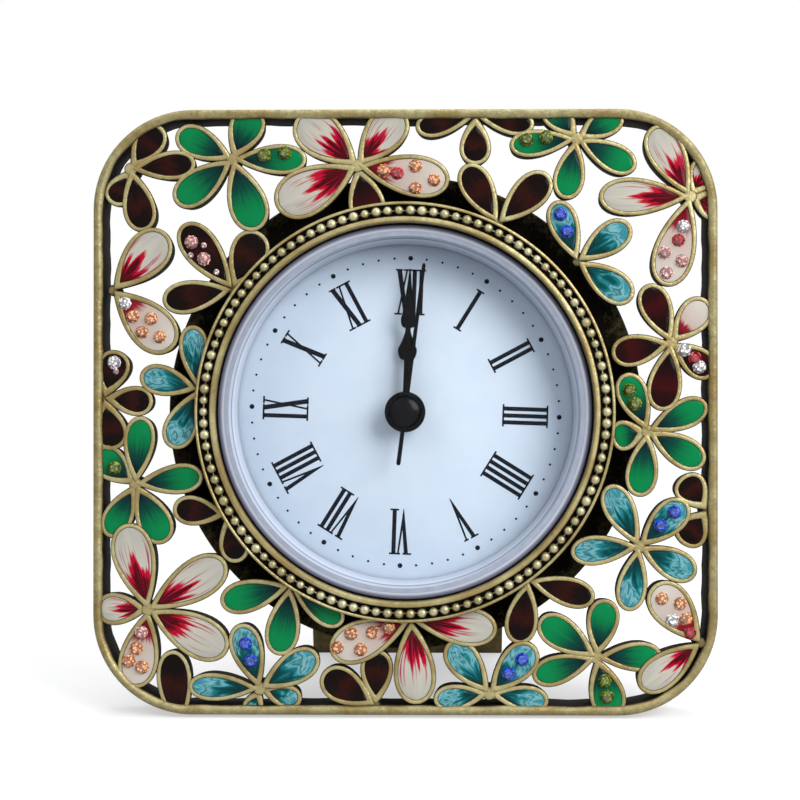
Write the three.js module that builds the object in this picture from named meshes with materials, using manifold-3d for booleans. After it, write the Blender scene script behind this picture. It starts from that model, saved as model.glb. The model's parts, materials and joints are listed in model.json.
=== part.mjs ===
// Table clock: an openwork square frame of enamel blossoms round a beaded bezel,
// with a quartz movement behind it and a hinged strut that props it up.
// Millimetres. +Z is up, the dial looks towards -Y, and the origin is the middle
// of the flat under the rim that the clock stands on.
import * as THREE from "three";
import { mergeVertices } from "three/addons/utils/BufferGeometryUtils.js";
import Module from "manifold-3d";

const wasm = await Module();
wasm.setup();

// Stance
const LEAN = 8;
const STRUT_SPREAD = 15;

// Clearances
const FIT_GAP = 0.3;
const RUN_GAP = 0.25;
const CUT_OVER = 1;

// Outer rim
const FRAME_WIDTH = 100;
const FRAME_HEIGHT = 97;
const CORNER_RADIUS = 16;
const RIM_BAND = 2.2;
const RIM_DEPTH = 7.5;
const RIM_ROUND = 0.6;

// Blossoms
const PETAL_SET_BACK = 0.3;
const PETAL_DEPTH = 5.6;
const PETAL_FULLNESS = 0.9;
const HUB_RADIUS = 1.3;
const CELL_START = 2;
const CELL_WALL = 0.8;
const CELL_DEPTH = 0.8;
const DRAWN_HEIGHT_SHARE = 0.97;
const DRAWN_BEZEL_SHARE = 0.672;

// Bezel and beaded wire
const VIEW_RADIUS = 30.2;
const LIP_WIDTH = 1.05;
const LIP_ROUND = 0.5;
const LIP_THICKNESS = 3;
const BEZEL_PROUD = 1.4;
const CHANNEL_WIDTH = 1.8;
const CHANNEL_DEPTH = 1.3;
const EDGE_WIDTH = 0.55;
const EDGE_DROP = 0.3;
const BEZEL_WALL = 1.2;
const FLANGE_REACH = 4.9;
const FLANGE_THICKNESS = 1.3;
const BEAD_COUNT = 110;
const BEAD_RADIUS = 0.55;
const BEAD_NECK = 0.3;

// Lens, dial and hands
const LENS_RECESS = 1.6;
const LENS_THICKNESS = 1.5;
const LENS_CHAMFER = 0.9;
const LENS_FLANGE = 1.1;
const LENS_SKIRT_TOP = 1.6;
const LENS_SKIRT_FOOT = 2.6;
const HAND_SPACE = 6.3;
const DIAL_THICKNESS = 0.6;
const DIAL_TURN = 2;
const SECOND_AIM = 7.3;
const HAND_THICKNESS = 0.3;
const HAND_STEP = 1;
const SPADE_NECK_SHARE = 0.6;
const SPADE_POINT_SHARE = 0.25;
const SPADE_SHOULDER_SHARE = 0.3;
const HOUR_HAND = { length: 14.5, bulgeAt: 10.3, bulge: 3.1, stem: 1, hub: 3 };
const MINUTE_HAND = { length: 23.3, bulgeAt: 15.1, bulge: 2.6, stem: 0.9, hub: 2.9 };
const SECOND_LENGTH = 24.3;
const SECOND_TAIL = 8.6;
const SECOND_WIDTH = 0.6;
const CAP_RADIUS = 3.3;
const CAP_HEIGHT = 1.5;
const CAP_FLAT_SHARE = 0.8;
const CAP_EDGE_SHARE = 0.7;

// Movement case and back
const CASE_WALL = 1.8;
const SHELF_WIDTH = 1.1;
const COLLAR_REACH = 3.9;
const COLLAR_THICKNESS = 1.2;
const CASE_SCREWS = 3;
const FIRST_SCREW_ANGLE = 90;
const SCREW_RADIUS = 0.8;
const SCREW_HEAD_RADIUS = 1.3;
const SCREW_HEAD_HEIGHT = 1;
const COVER_THICKNESS = 1.6;
const COVER_SKIRT = 1.5;
const COVER_SKIRT_WALL = 1;
const COVER_ROUND = 0.8;

// Wheel train
const WHEEL_THICKNESS = 0.6;
const LEVEL_GAP = 0.5;
const PLATE_THICKNESS = 1.2;
const BRIDGE_THICKNESS = 1;
const BRIDGE_ARM = 2.4;
const POST_RADIUS = 1.2;
const POST_SHARES = [[-0.45, -0.117], [0.5, 0.133], [-0.333, -0.467]];
const ADDENDUM = 0.55;
const DEDENDUM = 0.95;
const ARBOR_RADIUS = 0.45;
const SECOND_ARBOR_RADIUS = 0.5;
const PIPE_WALL = 0.45;
const PIVOT_DEPTH = 0.7;
const TRAIN_SHARE = 0.27;
const TRAIN_ANGLE = 150;
const MOTION_SHARE = 0.24;
const MOTION_ANGLE = 45;
const SECOND_PINION = 6;
const THIRD_WHEEL = 45;
const THIRD_PINION = 6;
const CENTRE_WHEEL = 48;
const SECOND_WHEEL = 24;
const FIFTH_PINION = 6;
const FIFTH_WHEEL = 45;
const ROTOR_PINION = 6;
const ROTOR_SHARE = 0.238;
const CANNON_PINION = 8;
const MOTION_WHEEL = 24;
const MOTION_PINION = 6;
const HOUR_WHEEL = 24;
const KNOB_PINION = 12;

// Motor and electrics
const MAGNET_RADIUS = 1.9;
const STATOR_GAP = 0.4;
const STATOR_RING = 2.2;
const STATOR_THICKNESS = 0.6;
const STATOR_ARM = 1.5;
const COIL_RADIUS = 2.1;
const COIL_FLANGE = 0.4;
const COIL_FLANGE_WIDTH = 0.8;
const COIL_END_SHARES = [[-0.1, -0.667], [0.5, -0.667]];
const CORE_OVERHANG = 4.2;
const STATOR_KNEE_SHARE = -0.5;
const CORE_THICKNESS = 1;
const CORE_WIDTH = 2.2;
const BOARD_SHARES = [-0.633, -0.333];
const BOARD_WIDTH_SHARE = 0.4;
const BOARD_HEIGHT_SHARE = 0.3;
const BOARD_THICKNESS = 0.8;
const CHIP_RADIUS = 2;
const CELL_RADIUS = 5.8;
const CELL_HEIGHT = 5.4;
const CELL_CAP_INSET = 0.7;
const CELL_CAP_HEIGHT = 0.6;
const CELL_ANGLE = 112;
const WELL_WALL = 0.8;
const WELL_HEIGHT = 3.5;
const CONTACT_THICKNESS = 0.3;
const CONTACT_ARM = 1;

// Setting knob, battery hatch, strut and its hinge
const KNOB_RADIUS = 4.5;
const KNOB_HEIGHT = 3;
const KNOB_FLUTES = 14;
const KNOB_FLUTE_DEPTH = 0.5;
const HATCH_RADIUS = 7.2;
const COIN_SLOT_WIDTH = 1.4;
const COIN_SLOT_LENGTH = 10;
const COIN_SLOT_DEPTH = 0.8;
const HINGE_HEIGHT = -3.5;
const KNUCKLE_RADIUS = 2;
const KNUCKLE_WIDTH = 14;
const EAR_WIDTH = 4;
const BRACKET_THICKNESS = 1.2;
const BRACKET_HEIGHT = 11;
const PIN_RADIUS = 0.9;
const PIN_OVERHANG = 0.8;
const STRUT_WIDTH = 34;
const STRUT_THICKNESS = 2.4;
const STRUT_NECK = 3.6;
const STRUT_FLARE = 14;
const FOOT_BAR_HEIGHT = 5.3;
const FOOT_BAR_STEP = 1.2;

// Facets
const RING_STEPS = 26;
const PIECE_STEPS = 12;
const SMALL_STEPS = 6;
const CORNER_STEPS = 5;
const PETAL_STEPS = 7;
const CELL_STEPS = 4;
const HUB_STEPS = 5;
const BEAD_SIDES = 3;
const BEND_STEPS = 3;

// Each blossom: the hub from the frame's centre, then each petal's aim in degrees
// anticlockwise from the right, its reach and its width. Lengths are shares of half the
// frame's width, on a drawing that is stretched to fill the room between bezel and rim.
const RIM_BLOSSOMS = [
  { hub: [0.226, 0.95], petals: [[192, 0.196, 0.088], [-90, 0.16, 0.102], [-10, 0.192, 0.088]] },
  { hub: [0.966, -0.314], petals: [[127, 0.136, 0.108], [234, 0.136, 0.108]] },
  { hub: [-0.094, -0.94], petals: [[149, 0.2, 0.116], [88, 0.18, 0.106]] },
  { hub: [-0.734, -0.944], petals: [[97, 0.184, 0.11]] },
  { hub: [-0.966, 0.044], petals: [[73, 0.16, 0.108], [-5, 0.16, 0.098], [-79, 0.17, 0.112]] },
];
const BLOSSOMS = [
  { name: "brown_top_left", hub: [-0.88, 0.78],
    petals: [[5, 0.21, 0.096], [-78, 0.206, 0.108], [56, 0.17, 0.104], [-118, 0.13, 0.092]] },
  { name: "green_top_left", hub: [-0.552, 0.81],
    petals: [[154, 0.202, 0.106], [67, 0.18, 0.116], [0, 0.238, 0.1],
      [217, 0.232, 0.114], [-71.5, 0.242, 0.128]] },
  { name: "white_top", hub: [-0.152, 0.788],
    petals: [[140, 0.25, 0.148], [51, 0.23, 0.134], [-10, 0.3, 0.138],
      [207, 0.292, 0.158], [-76, 0.2, 0.12]] },
  { name: "brown_ring_top_right", hub: [0.308, 0.624], petals: [[124, 0.206, 0.108], [42, 0.206, 0.114]] },
  { name: "green_top_right", hub: [0.55, 0.874],
    petals: [[186, 0.216, 0.09], [128, 0.16, 0.1], [30, 0.17, 0.096],
      [-27, 0.212, 0.098], [-101, 0.198, 0.102]] },
  { name: "white_top_right", hub: [0.912, 0.688],
    petals: [[118, 0.256, 0.124], [180, 0.292, 0.124], [-106, 0.298, 0.136],
      [-20, 0.12, 0.1], [60, 0.14, 0.1]] },
  { name: "teal_top_right", hub: [0.552, 0.482],
    petals: [[110, 0.206, 0.1], [35, 0.206, 0.106], [-35, 0.214, 0.108]] },
  { name: "red_right", hub: [0.852, 0.22],
    petals: [[113, 0.204, 0.106], [50, 0.18, 0.108], [191, 0.196, 0.104],
      [-99, 0.22, 0.112], [-36, 0.17, 0.1]] },
  { name: "green_right", hub: [0.776, -0.062],
    petals: [[112, 0.2, 0.104], [190, 0.12, 0.1], [25, 0.21, 0.098],
      [-30, 0.21, 0.104], [-98, 0.212, 0.106]] },
  { name: "teal_right", hub: [0.748, -0.43],
    petals: [[117, 0.22, 0.104], [185, 0.22, 0.098], [-100, 0.21, 0.1],
      [-27, 0.204, 0.104], [43, 0.21, 0.11]] },
  { name: "white_bottom_right", hub: [0.93, -0.73], petals: [[133, 0.236, 0.144], [217, 0.25, 0.128]] },
  { name: "green_bottom_right", hub: [0.612, -0.784],
    petals: [[146, 0.22, 0.11], [80, 0.19, 0.106], [1, 0.21, 0.098],
      [-74, 0.2, 0.116], [198, 0.214, 0.098]] },
  { name: "brown_ring_bottom_right", hub: [0.412, -0.564],
    petals: [[-10, 0.198, 0.098], [-106, 0.186, 0.108]] },
  { name: "teal_bottom", hub: [0.27, -0.9],
    petals: [[128, 0.21, 0.11], [47, 0.212, 0.116], [187, 0.18, 0.088], [-8, 0.192, 0.088]] },
  { name: "white_bottom", hub: [0.02, -0.696],
    petals: [[0, 0.276, 0.128], [-86, 0.24, 0.136], [197, 0.27, 0.136]] },
  { name: "teal_bottom_left", hub: [-0.464, -0.886],
    petals: [[108, 0.218, 0.108], [31, 0.218, 0.11], [178, 0.23, 0.092], [-17, 0.14, 0.08]] },
  { name: "green_ring_bottom_left", hub: [-0.384, -0.582],
    petals: [[188, 0.21, 0.108], [-96, 0.2, 0.112], [-27, 0.21, 0.096]] },
  { name: "white_bottom_left", hub: [-0.822, -0.634],
    petals: [[105, 0.286, 0.14], [32, 0.294, 0.136], [-28, 0.288, 0.14],
      [-101, 0.256, 0.13], [179, 0.17, 0.106]] },
  { name: "brown_ring_left", hub: [-0.602, -0.348], petals: [[165, 0.148, 0.098], [-64, 0.152, 0.098]] },
  { name: "green_left", hub: [-0.864, -0.232],
    petals: [[85, 0.22, 0.104], [7, 0.22, 0.1], [-63, 0.212, 0.114],
      [242, 0.192, 0.1], [141, 0.17, 0.108]] },
  { name: "teal_ring_left", hub: [-0.694, 0.076],
    petals: [[87, 0.204, 0.098], [165, 0.162, 0.1], [254, 0.2, 0.11]] },
  { name: "white_left", hub: [-0.936, 0.39], petals: [[47, 0.252, 0.142], [-44, 0.27, 0.148]] },
  { name: "brown_ring_top_left", hub: [-0.568, 0.406],
    petals: [[127, 0.244, 0.12], [60, 0.202, 0.126], [194, 0.216, 0.108]] },
];

// Depths, front to back, from the middle of the rim
const rimFront = -RIM_DEPTH / 2;
const rimBack = RIM_DEPTH / 2;
const petalFront = rimFront + PETAL_SET_BACK;
const petalBack = petalFront + PETAL_DEPTH;
const flangeFront = rimBack - FLANGE_THICKNESS;
const bezelFront = rimFront - BEZEL_PROUD;
const lipBack = bezelFront + LIP_THICKNESS;
const lensFront = bezelFront + LENS_RECESS;
const lensInner = lensFront + LENS_THICKNESS;
const lensFlangeFront = lipBack + FIT_GAP;
const lensFlangeBack = lensFlangeFront + LENS_FLANGE;
const caseFront = lensFlangeBack + FIT_GAP;
const collarFront = rimBack + FIT_GAP;
const collarBack = collarFront + COLLAR_THICKNESS;
const dialFront = lensInner + HAND_SPACE;
const dialBack = dialFront + DIAL_THICKNESS;
const hourHandBack = dialFront - HAND_STEP - FIT_GAP;
const minuteHandBack = hourHandBack - HAND_THICKNESS - HAND_STEP;
const secondHandBack = minuteHandBack - HAND_THICKNESS - HAND_STEP;
const hourLevel = dialBack + FIT_GAP + LEVEL_GAP;
const motionLevel = hourLevel + WHEEL_THICKNESS + LEVEL_GAP;
const plateFront = motionLevel + WHEEL_THICKNESS + LEVEL_GAP;
const plateBack = plateFront + PLATE_THICKNESS;
const centreLevel = plateBack + LEVEL_GAP;
const thirdLevel = centreLevel + WHEEL_THICKNESS + LEVEL_GAP;
const secondLevel = thirdLevel + WHEEL_THICKNESS + LEVEL_GAP;
const fifthLevel = secondLevel + WHEEL_THICKNESS + LEVEL_GAP;
const bridgeFront = fifthLevel + WHEEL_THICKNESS + LEVEL_GAP;
const bridgeBack = bridgeFront + BRIDGE_THICKNESS;
const cellFront = plateBack + CONTACT_THICKNESS + 2 * FIT_GAP;
const coverFront = Math.max(cellFront + CELL_HEIGHT, bridgeBack) + FIT_GAP;
const coverBack = coverFront + COVER_THICKNESS;
const caseBack = coverFront - FIT_GAP;

// Radii round the clock's axis, and half the frame's width
const halfFrame = FRAME_WIDTH / 2;
const channelInner = VIEW_RADIUS + LIP_WIDTH;
const channelOuter = channelInner + CHANNEL_WIDTH;
const bezelRadius = channelOuter + EDGE_WIDTH;
const bezelBore = bezelRadius - BEZEL_WALL;
const flangeRadius = bezelRadius + FLANGE_REACH;
const caseRadius = bezelBore - FIT_GAP;
const caseInner = caseRadius - CASE_WALL;
const dialRadius = caseInner - FIT_GAP;
const collarRadius = caseRadius + COLLAR_REACH;
const screwCircle = (bezelBore + collarRadius) / 2;
const cannonBore = SECOND_ARBOR_RADIUS + RUN_GAP;
const cannonRadius = cannonBore + PIPE_WALL;
const hourPipeBore = cannonRadius + RUN_GAP;
const hourPipeRadius = hourPipeBore + PIPE_WALL;

// Arbors of the train from the dial's centre, as the main plate's size spaces them
const centre = [0, 0];
const plateRadius = dialRadius;
const trainDistance = TRAIN_SHARE * plateRadius;
const motionDistance = MOTION_SHARE * plateRadius;
const rotorDistance = ROTOR_SHARE * plateRadius;
const thirdArbor = polar(trainDistance, TRAIN_ANGLE);
const fifthArbor = polar(trainDistance, TRAIN_ANGLE + 180);
const rotorArbor = polar(trainDistance + rotorDistance, TRAIN_ANGLE + 180);
const rotorModule = moduleFor(rotorDistance, FIFTH_WHEEL, ROTOR_PINION);
const motionArbor = polar(motionDistance, MOTION_ANGLE);
const motionModule = moduleFor(motionDistance, CANNON_PINION, MOTION_WHEEL);
const knobDistance = (motionModule * (MOTION_WHEEL + KNOB_PINION)) / 2;
const knobArbor = polar(motionDistance + knobDistance, MOTION_ANGLE);
const posts = POST_SHARES.map(onPlate);
const wellInner = CELL_RADIUS + FIT_GAP;
const wellOuter = wellInner + WELL_WALL;
const cellCentre = polar(plateRadius - FIT_GAP - wellOuter, CELL_ANGLE);

// Hinge of the strut, and its height over the surface
const lean = radians(LEAN);
const spread = radians(STRUT_SPREAD);
const bracketFront = coverBack + FIT_GAP;
const bracketBack = bracketFront + BRACKET_THICKNESS;
const hingeDepth = bracketBack + FIT_GAP + KNUCKLE_RADIUS;
const standHeight = (FRAME_HEIGHT / 2) * Math.cos(lean);
const standDepth = (FRAME_HEIGHT / 2) * Math.sin(lean) - RIM_DEPTH / (4 * Math.cos(lean));
const hingeRise = standHeight + HINGE_HEIGHT * Math.cos(lean) - hingeDepth * Math.sin(lean);

function radians(degrees) {
  return (degrees * Math.PI) / 180;
}

function polar(distance, degrees) {
  return [distance * Math.cos(radians(degrees)), distance * Math.sin(radians(degrees))];
}

function onPlate([x, z]) {
  return [x * plateRadius, z * plateRadius];
}

function moduleFor(distance, teeth, otherTeeth) {
  return (2 * distance) / (teeth + otherTeeth);
}

// A closed three.js geometry as a solid with its faces pointing out.
function solid(geometry) {
  const bare = geometry.clone();
  bare.deleteAttribute("normal");
  bare.deleteAttribute("uv");
  const merged = mergeVertices(bare);
  const points = merged.attributes.position.array;
  const corners = merged.index.array;
  const triangles = [];
  let volume = 0;
  for (let i = 0; i < corners.length; i += 3) {
    const [a, b, c] = corners.slice(i, i + 3);
    if (a === b || b === c || c === a) continue;
    triangles.push([a, b, c]);
    const [p, q, r] = [a, b, c].map((k) => new THREE.Vector3().fromArray(points, 3 * k));
    volume += p.dot(q.cross(r));
  }
  const outward = volume > 0 ? triangles : triangles.map(([a, b, c]) => [a, c, b]);
  return new wasm.Manifold(new wasm.Mesh({
    numProp: 3,
    vertProperties: new Float32Array(points),
    triVerts: new Uint32Array(outward.flat()),
  }));
}

function union(solids) {
  return solids.reduce((sum, piece) => sum.add(piece));
}

// An outline in the plane of the dial (x right, y up), from one depth to another.
function slab(shape, front, back, steps = SMALL_STEPS) {
  const settings = { depth: back - front, bevelEnabled: false, curveSegments: steps };
  const geometry = new THREE.ExtrudeGeometry(shape, settings);
  geometry.rotateX(Math.PI / 2);
  geometry.translate(0, back, 0);
  return solid(geometry);
}

// A side outline (x is depth, y is up) carried across the width.
function across(shape, left, right, steps = SMALL_STEPS) {
  const settings = { depth: right - left, bevelEnabled: false, curveSegments: steps };
  const geometry = new THREE.ExtrudeGeometry(shape, settings);
  geometry.applyMatrix4(new THREE.Matrix4().set(0, 0, 1, left, 1, 0, 0, 0, 0, 1, 0, 0, 0, 0, 0, 1));
  return solid(geometry);
}

function disc([x, z], radius, front, back, steps = SMALL_STEPS) {
  const geometry = new THREE.CylinderGeometry(radius, radius, back - front, steps);
  geometry.translate(x, (front + back) / 2, z);
  return solid(geometry);
}

function rod([y, z], radius, left, right, steps = SMALL_STEPS) {
  const geometry = new THREE.CylinderGeometry(radius, radius, right - left, steps);
  geometry.rotateZ(Math.PI / 2);
  geometry.translate((left + right) / 2, y, z);
  return solid(geometry);
}

// A profile of [radius, depth] corners turned about the clock's axis.
function turned(profile, steps = RING_STEPS) {
  const corners = profile.map(([radius, depth]) => new THREE.Vector2(radius, depth));
  return solid(new THREE.LatheGeometry(corners, steps));
}

function turnedRing(profile, steps = RING_STEPS) {
  return turned([...profile, profile[0]], steps);
}

// A straight bar with round ends, as a flat outline.
function barShape([ax, az], [bx, bz], halfWidth) {
  const along = Math.atan2(bz - az, bx - ax);
  const shape = new THREE.Shape();
  shape.absarc(bx, bz, halfWidth, along - Math.PI / 2, along + Math.PI / 2);
  shape.absarc(ax, az, halfWidth, along + Math.PI / 2, along + (3 * Math.PI) / 2);
  return shape;
}

function rectangleShape(left, right, low, high) {
  const shape = new THREE.Shape();
  shape.moveTo(left, low);
  shape.lineTo(right, low);
  shape.lineTo(right, high);
  shape.lineTo(left, high);
  return shape;
}

// The frame's rounded square, drawn in by a distance from its outer edge.
function frameShape(inset) {
  const x = FRAME_WIDTH / 2 - inset;
  const z = FRAME_HEIGHT / 2 - inset;
  const radius = CORNER_RADIUS - inset;
  const shape = new THREE.Shape();
  shape.absarc(x - radius, radius - z, radius, -Math.PI / 2, 0);
  shape.absarc(x - radius, z - radius, radius, 0, Math.PI / 2);
  shape.absarc(radius - x, z - radius, radius, Math.PI / 2, Math.PI);
  shape.absarc(radius - x, radius - z, radius, Math.PI, (3 * Math.PI) / 2);
  return shape;
}

// A point of the drawing, carried to its share of the way from the bezel to the frame's edge.
function openworkPoint([x, z]) {
  const across = x / halfFrame;
  const up = z / (halfFrame * DRAWN_HEIGHT_SHARE);
  const fromCentre = Math.hypot(x, z);
  const toEdge = 1 / Math.max(Math.abs(across), Math.abs(up));
  const drawnBezel = DRAWN_BEZEL_SHARE * halfFrame;
  const share = (fromCentre - drawnBezel) / (fromCentre * toEdge - drawnBezel);
  const [edgeX, edgeZ] = [(across * toEdge * FRAME_WIDTH) / 2, (up * toEdge * FRAME_HEIGHT) / 2];
  const edgeReach = Math.hypot(edgeX, edgeZ);
  const reach = bezelRadius + share * (edgeReach - bezelRadius);
  return [(edgeX * reach) / edgeReach, (edgeZ * reach) / edgeReach];
}

// Petals are teardrops: pointed at the hub and fullest past the middle.
function petalShape([hubX, hubZ], aim, start, reach, width, steps) {
  const halfWidth = (t) => Math.sin(t) * Math.abs(Math.sin(t / 2)) ** PETAL_FULLNESS;
  const fullest = halfWidth(Math.acos(-PETAL_FULLNESS / (PETAL_FULLNESS + 2)));
  const turn = radians(aim);
  const points = [];
  for (let i = 0; i < steps; i += 1) {
    const t = (2 * Math.PI * i) / steps;
    const along = start + (reach * (1 - Math.cos(t))) / 2;
    const side = -((width / 2) * halfWidth(t)) / fullest;
    const point = new THREE.Vector2(along, side).rotateAround(new THREE.Vector2(), turn);
    points.push(new THREE.Vector2(...openworkPoint([point.x + hubX, point.y + hubZ])));
  }
  return new THREE.Shape(points);
}

// A blossom's hub and petals in millimetres on the drawing.
function drawn({ hub, petals }) {
  return {
    hub: hub.map((share) => share * halfFrame),
    petals: petals.map(([aim, reach, width]) => [aim, reach * halfFrame, width * halfFrame]),
  };
}

function blossomSolid(blossom) {
  const { hub, petals } = drawn(blossom);
  const outlines = petals.map(([aim, reach, width]) =>
    slab(petalShape(hub, aim, 0, reach, width, PETAL_STEPS), petalFront, petalBack));
  const cells = petals.map(([aim, reach, width]) => {
    const cellReach = reach - CELL_START - CELL_WALL;
    const shape = petalShape(hub, aim, CELL_START, cellReach, width - 2 * CELL_WALL, CELL_STEPS);
    return slab(shape, petalFront - CELL_DEPTH, petalFront + CELL_DEPTH);
  });
  const hubDisc = disc(openworkPoint(hub), HUB_RADIUS, petalFront, petalBack, HUB_STEPS);
  return union([...outlines, hubDisc]).subtract(union(cells));
}

// The room that a blossom and the joint round it take up.
function blossomRoom(blossom) {
  const { hub, petals } = drawn(blossom);
  const [roomFront, roomBack] = [petalFront - CELL_DEPTH, petalBack + FIT_GAP];
  const outlines = petals.map(([aim, reach, width]) => {
    const shape = petalShape(hub, aim, -FIT_GAP, reach + 2 * FIT_GAP, width + 2 * FIT_GAP, PETAL_STEPS);
    return slab(shape, roomFront, roomBack);
  });
  const hubRoom = disc(openworkPoint(hub), HUB_RADIUS + FIT_GAP, roomFront, roomBack, HUB_STEPS);
  return union([...outlines, hubRoom]);
}

// A wheel or pinion: its teeth have a flat share of the pitch at the tip and at the root.
function gear([x, z], teeth, module, phase, front, { tip = 0, root = 0 } = {}) {
  const pitch = (2 * Math.PI) / teeth;
  const tipRadius = (module * teeth) / 2 + ADDENDUM * module;
  const rootRadius = (module * teeth) / 2 - DEDENDUM * module;
  const points = [];
  const put = (radius, angle) =>
    points.push(new THREE.Vector2(x + radius * Math.cos(angle), z + radius * Math.sin(angle)));
  for (let i = 0; i < teeth; i += 1) {
    const middle = phase + i * pitch;
    const gap = middle + pitch / 2;
    if (tip > 0) put(tipRadius, middle - (tip * pitch) / 2);
    put(tipRadius, middle + (tip * pitch) / 2);
    if (root > 0) put(rootRadius, gap - (root * pitch) / 2);
    put(rootRadius, gap + (root * pitch) / 2);
  }
  return slab(new THREE.Shape(points), front, front + WHEEL_THICKNESS);
}

// The phase that sets a driven gear's gap against the driving gear's tooth.
function meshPhase(driver, driverTeeth, driverPhase, driven, drivenTeeth) {
  const line = Math.atan2(driven[1] - driver[1], driven[0] - driver[0]);
  const offset = ((line - driverPhase) * driverTeeth) / (2 * Math.PI);
  return line + Math.PI - ((0.5 - offset) * 2 * Math.PI) / drivenTeeth;
}

const PINION_TOOTH = { tip: 0.18, root: 0.35 };

function arbor(place, radius, front, back) {
  return disc(place, radius, front, back, SMALL_STEPS);
}

// A hand's blade with a spade near its end, pointing up.
function spadeShape({ length, bulgeAt, bulge, stem }) {
  const shape = new THREE.Shape();
  const neck = bulgeAt - bulge * SPADE_NECK_SHARE;
  const point = stem * SPADE_POINT_SHARE;
  const shoulder = bulgeAt + (length - bulgeAt) * SPADE_SHOULDER_SHARE;
  shape.moveTo(-stem / 2, 0);
  shape.lineTo(stem / 2, 0);
  shape.lineTo(stem / 2, neck);
  shape.quadraticCurveTo(bulge / 2, neck, bulge / 2, bulgeAt);
  shape.quadraticCurveTo(bulge / 4, shoulder, point / 2, length);
  shape.lineTo(-point / 2, length);
  shape.quadraticCurveTo(-bulge / 4, shoulder, -bulge / 2, bulgeAt);
  shape.quadraticCurveTo(-bulge / 2, neck, -stem / 2, neck);
  return shape;
}

function spadeHand(hand, back, bore) {
  const front = back - HAND_THICKNESS;
  const blade = slab(spadeShape(hand), front, back, BEND_STEPS);
  const hub = disc(centre, hand.hub, front, back, PIECE_STEPS);
  return blade.add(hub).subtract(disc(centre, bore, front - CUT_OVER, back + CUT_OVER));
}

function finish(color, roughness, metalness) {
  return new THREE.MeshStandardMaterial({ color, roughness, metalness });
}

const brass = finish("#8f8350", 0.42, 0.9);
const darkBrass = finish("#3b3420", 0.55, 0.85);
const bright = finish("#c9b06a", 0.3, 0.95);
const steel = finish("#9a9c9e", 0.35, 0.95);
const black = finish("#0c0c0d", 0.35, 0.1);
const blackPlastic = finish("#17181a", 0.6, 0);
const clear = finish("#dfe6ea", 0.05, 0);
const dialWhite = finish("#dbe4ec", 0.5, 0);
const copper = finish("#a9562a", 0.45, 0.7);
const greenBoard = finish("#1c5a37", 0.6, 0);
const enamel = {
  brown: finish("#3a1614", 0.35, 0.3),
  green: finish("#1c6b45", 0.35, 0.3),
  white: finish("#c9bfb2", 0.35, 0.3),
  teal: finish("#3f7f8e", 0.35, 0.3),
  red: finish("#5a1320", 0.35, 0.3),
};

const clock = new THREE.Group();
clock.rotation.x = -lean;
clock.position.set(0, standDepth, standHeight);
clock.updateMatrix();

function add(name, piece, material, parent = clock) {
  const { vertProperties, triVerts } = piece.getMesh();
  const geometry = new THREE.BufferGeometry();
  geometry.setAttribute("position", new THREE.BufferAttribute(vertProperties, 3));
  geometry.setIndex(new THREE.BufferAttribute(triVerts, 1));
  geometry.computeVertexNormals();
  const mesh = new THREE.Mesh(geometry, material);
  mesh.name = name;
  parent.add(mesh);
  return mesh;
}

// Outer rim: a rounded band with the half blossoms that grow from it, cut flat to stand.
function rimBand() {
  const shape = frameShape(0);
  shape.holes.push(frameShape(RIM_BAND));
  const geometry = new THREE.ExtrudeGeometry(shape, {
    depth: RIM_DEPTH - 2 * RIM_ROUND,
    bevelThickness: RIM_ROUND,
    bevelSize: RIM_ROUND,
    bevelOffset: -RIM_ROUND,
    bevelSegments: 1,
    curveSegments: CORNER_STEPS,
  });
  geometry.rotateX(Math.PI / 2);
  geometry.translate(0, rimBack - RIM_ROUND, 0);
  return solid(geometry);
}

function floorBlock() {
  const geometry = new THREE.BoxGeometry(FRAME_WIDTH, FRAME_HEIGHT, FRAME_HEIGHT);
  geometry.translate(0, 0, -FRAME_HEIGHT / 2);
  geometry.applyMatrix4(clock.matrix.clone().invert());
  return solid(geometry);
}

const rimWindow = slab(frameShape(RIM_BAND / 2), rimFront, rimBack, CORNER_STEPS);
const rimGrowth = union(RIM_BLOSSOMS.map(blossomSolid)).intersect(rimWindow);
add("outer_rim", rimBand().add(rimGrowth).subtract(floorBlock()), brass);

// Blossoms: each is fitted to the rim, to the bezel and to the blossoms before it.
const blossomWindow = slab(frameShape(RIM_BAND + FIT_GAP), rimFront, rimBack, CORNER_STEPS);
const bezelRoom = disc(centre, bezelRadius + FIT_GAP, rimFront - CUT_OVER, rimBack + CUT_OVER, RING_STEPS);
let taken = union(RIM_BLOSSOMS.map(blossomRoom)).add(bezelRoom);
for (const blossom of BLOSSOMS) {
  const piece = blossomSolid(blossom).intersect(blossomWindow).subtract(taken);
  const colour = blossom.name.split("_")[0];
  add(`blossom_${blossom.name}`, piece, enamel[colour]);
  taken = taken.add(blossomRoom(blossom));
}

// Bezel: a lip over the lens, a channel for the beads and a flange behind the blossoms.
const channelFloor = bezelFront + CHANNEL_DEPTH;
const screwPlaces = Array.from({ length: CASE_SCREWS }, (_, i) =>
  polar(screwCircle, FIRST_SCREW_ANGLE + (360 * i) / CASE_SCREWS));
const screwHoles = union(screwPlaces.map((place) =>
  disc(place, SCREW_RADIUS + RUN_GAP, flangeFront - CUT_OVER, collarBack + CUT_OVER)));
const bezel = turnedRing([
  [VIEW_RADIUS, lipBack],
  [VIEW_RADIUS, bezelFront + LIP_ROUND],
  [VIEW_RADIUS + LIP_ROUND, bezelFront],
  [channelInner, bezelFront],
  [channelInner, channelFloor],
  [channelOuter, channelFloor],
  [channelOuter, bezelFront + EDGE_DROP],
  [bezelRadius, bezelFront + EDGE_DROP],
  [bezelRadius, flangeFront],
  [flangeRadius, flangeFront],
  [flangeRadius, rimBack],
  [bezelBore, rimBack],
  [bezelBore, lipBack],
]);
add("bezel_ring", bezel.subtract(screwHoles), brass);

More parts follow.
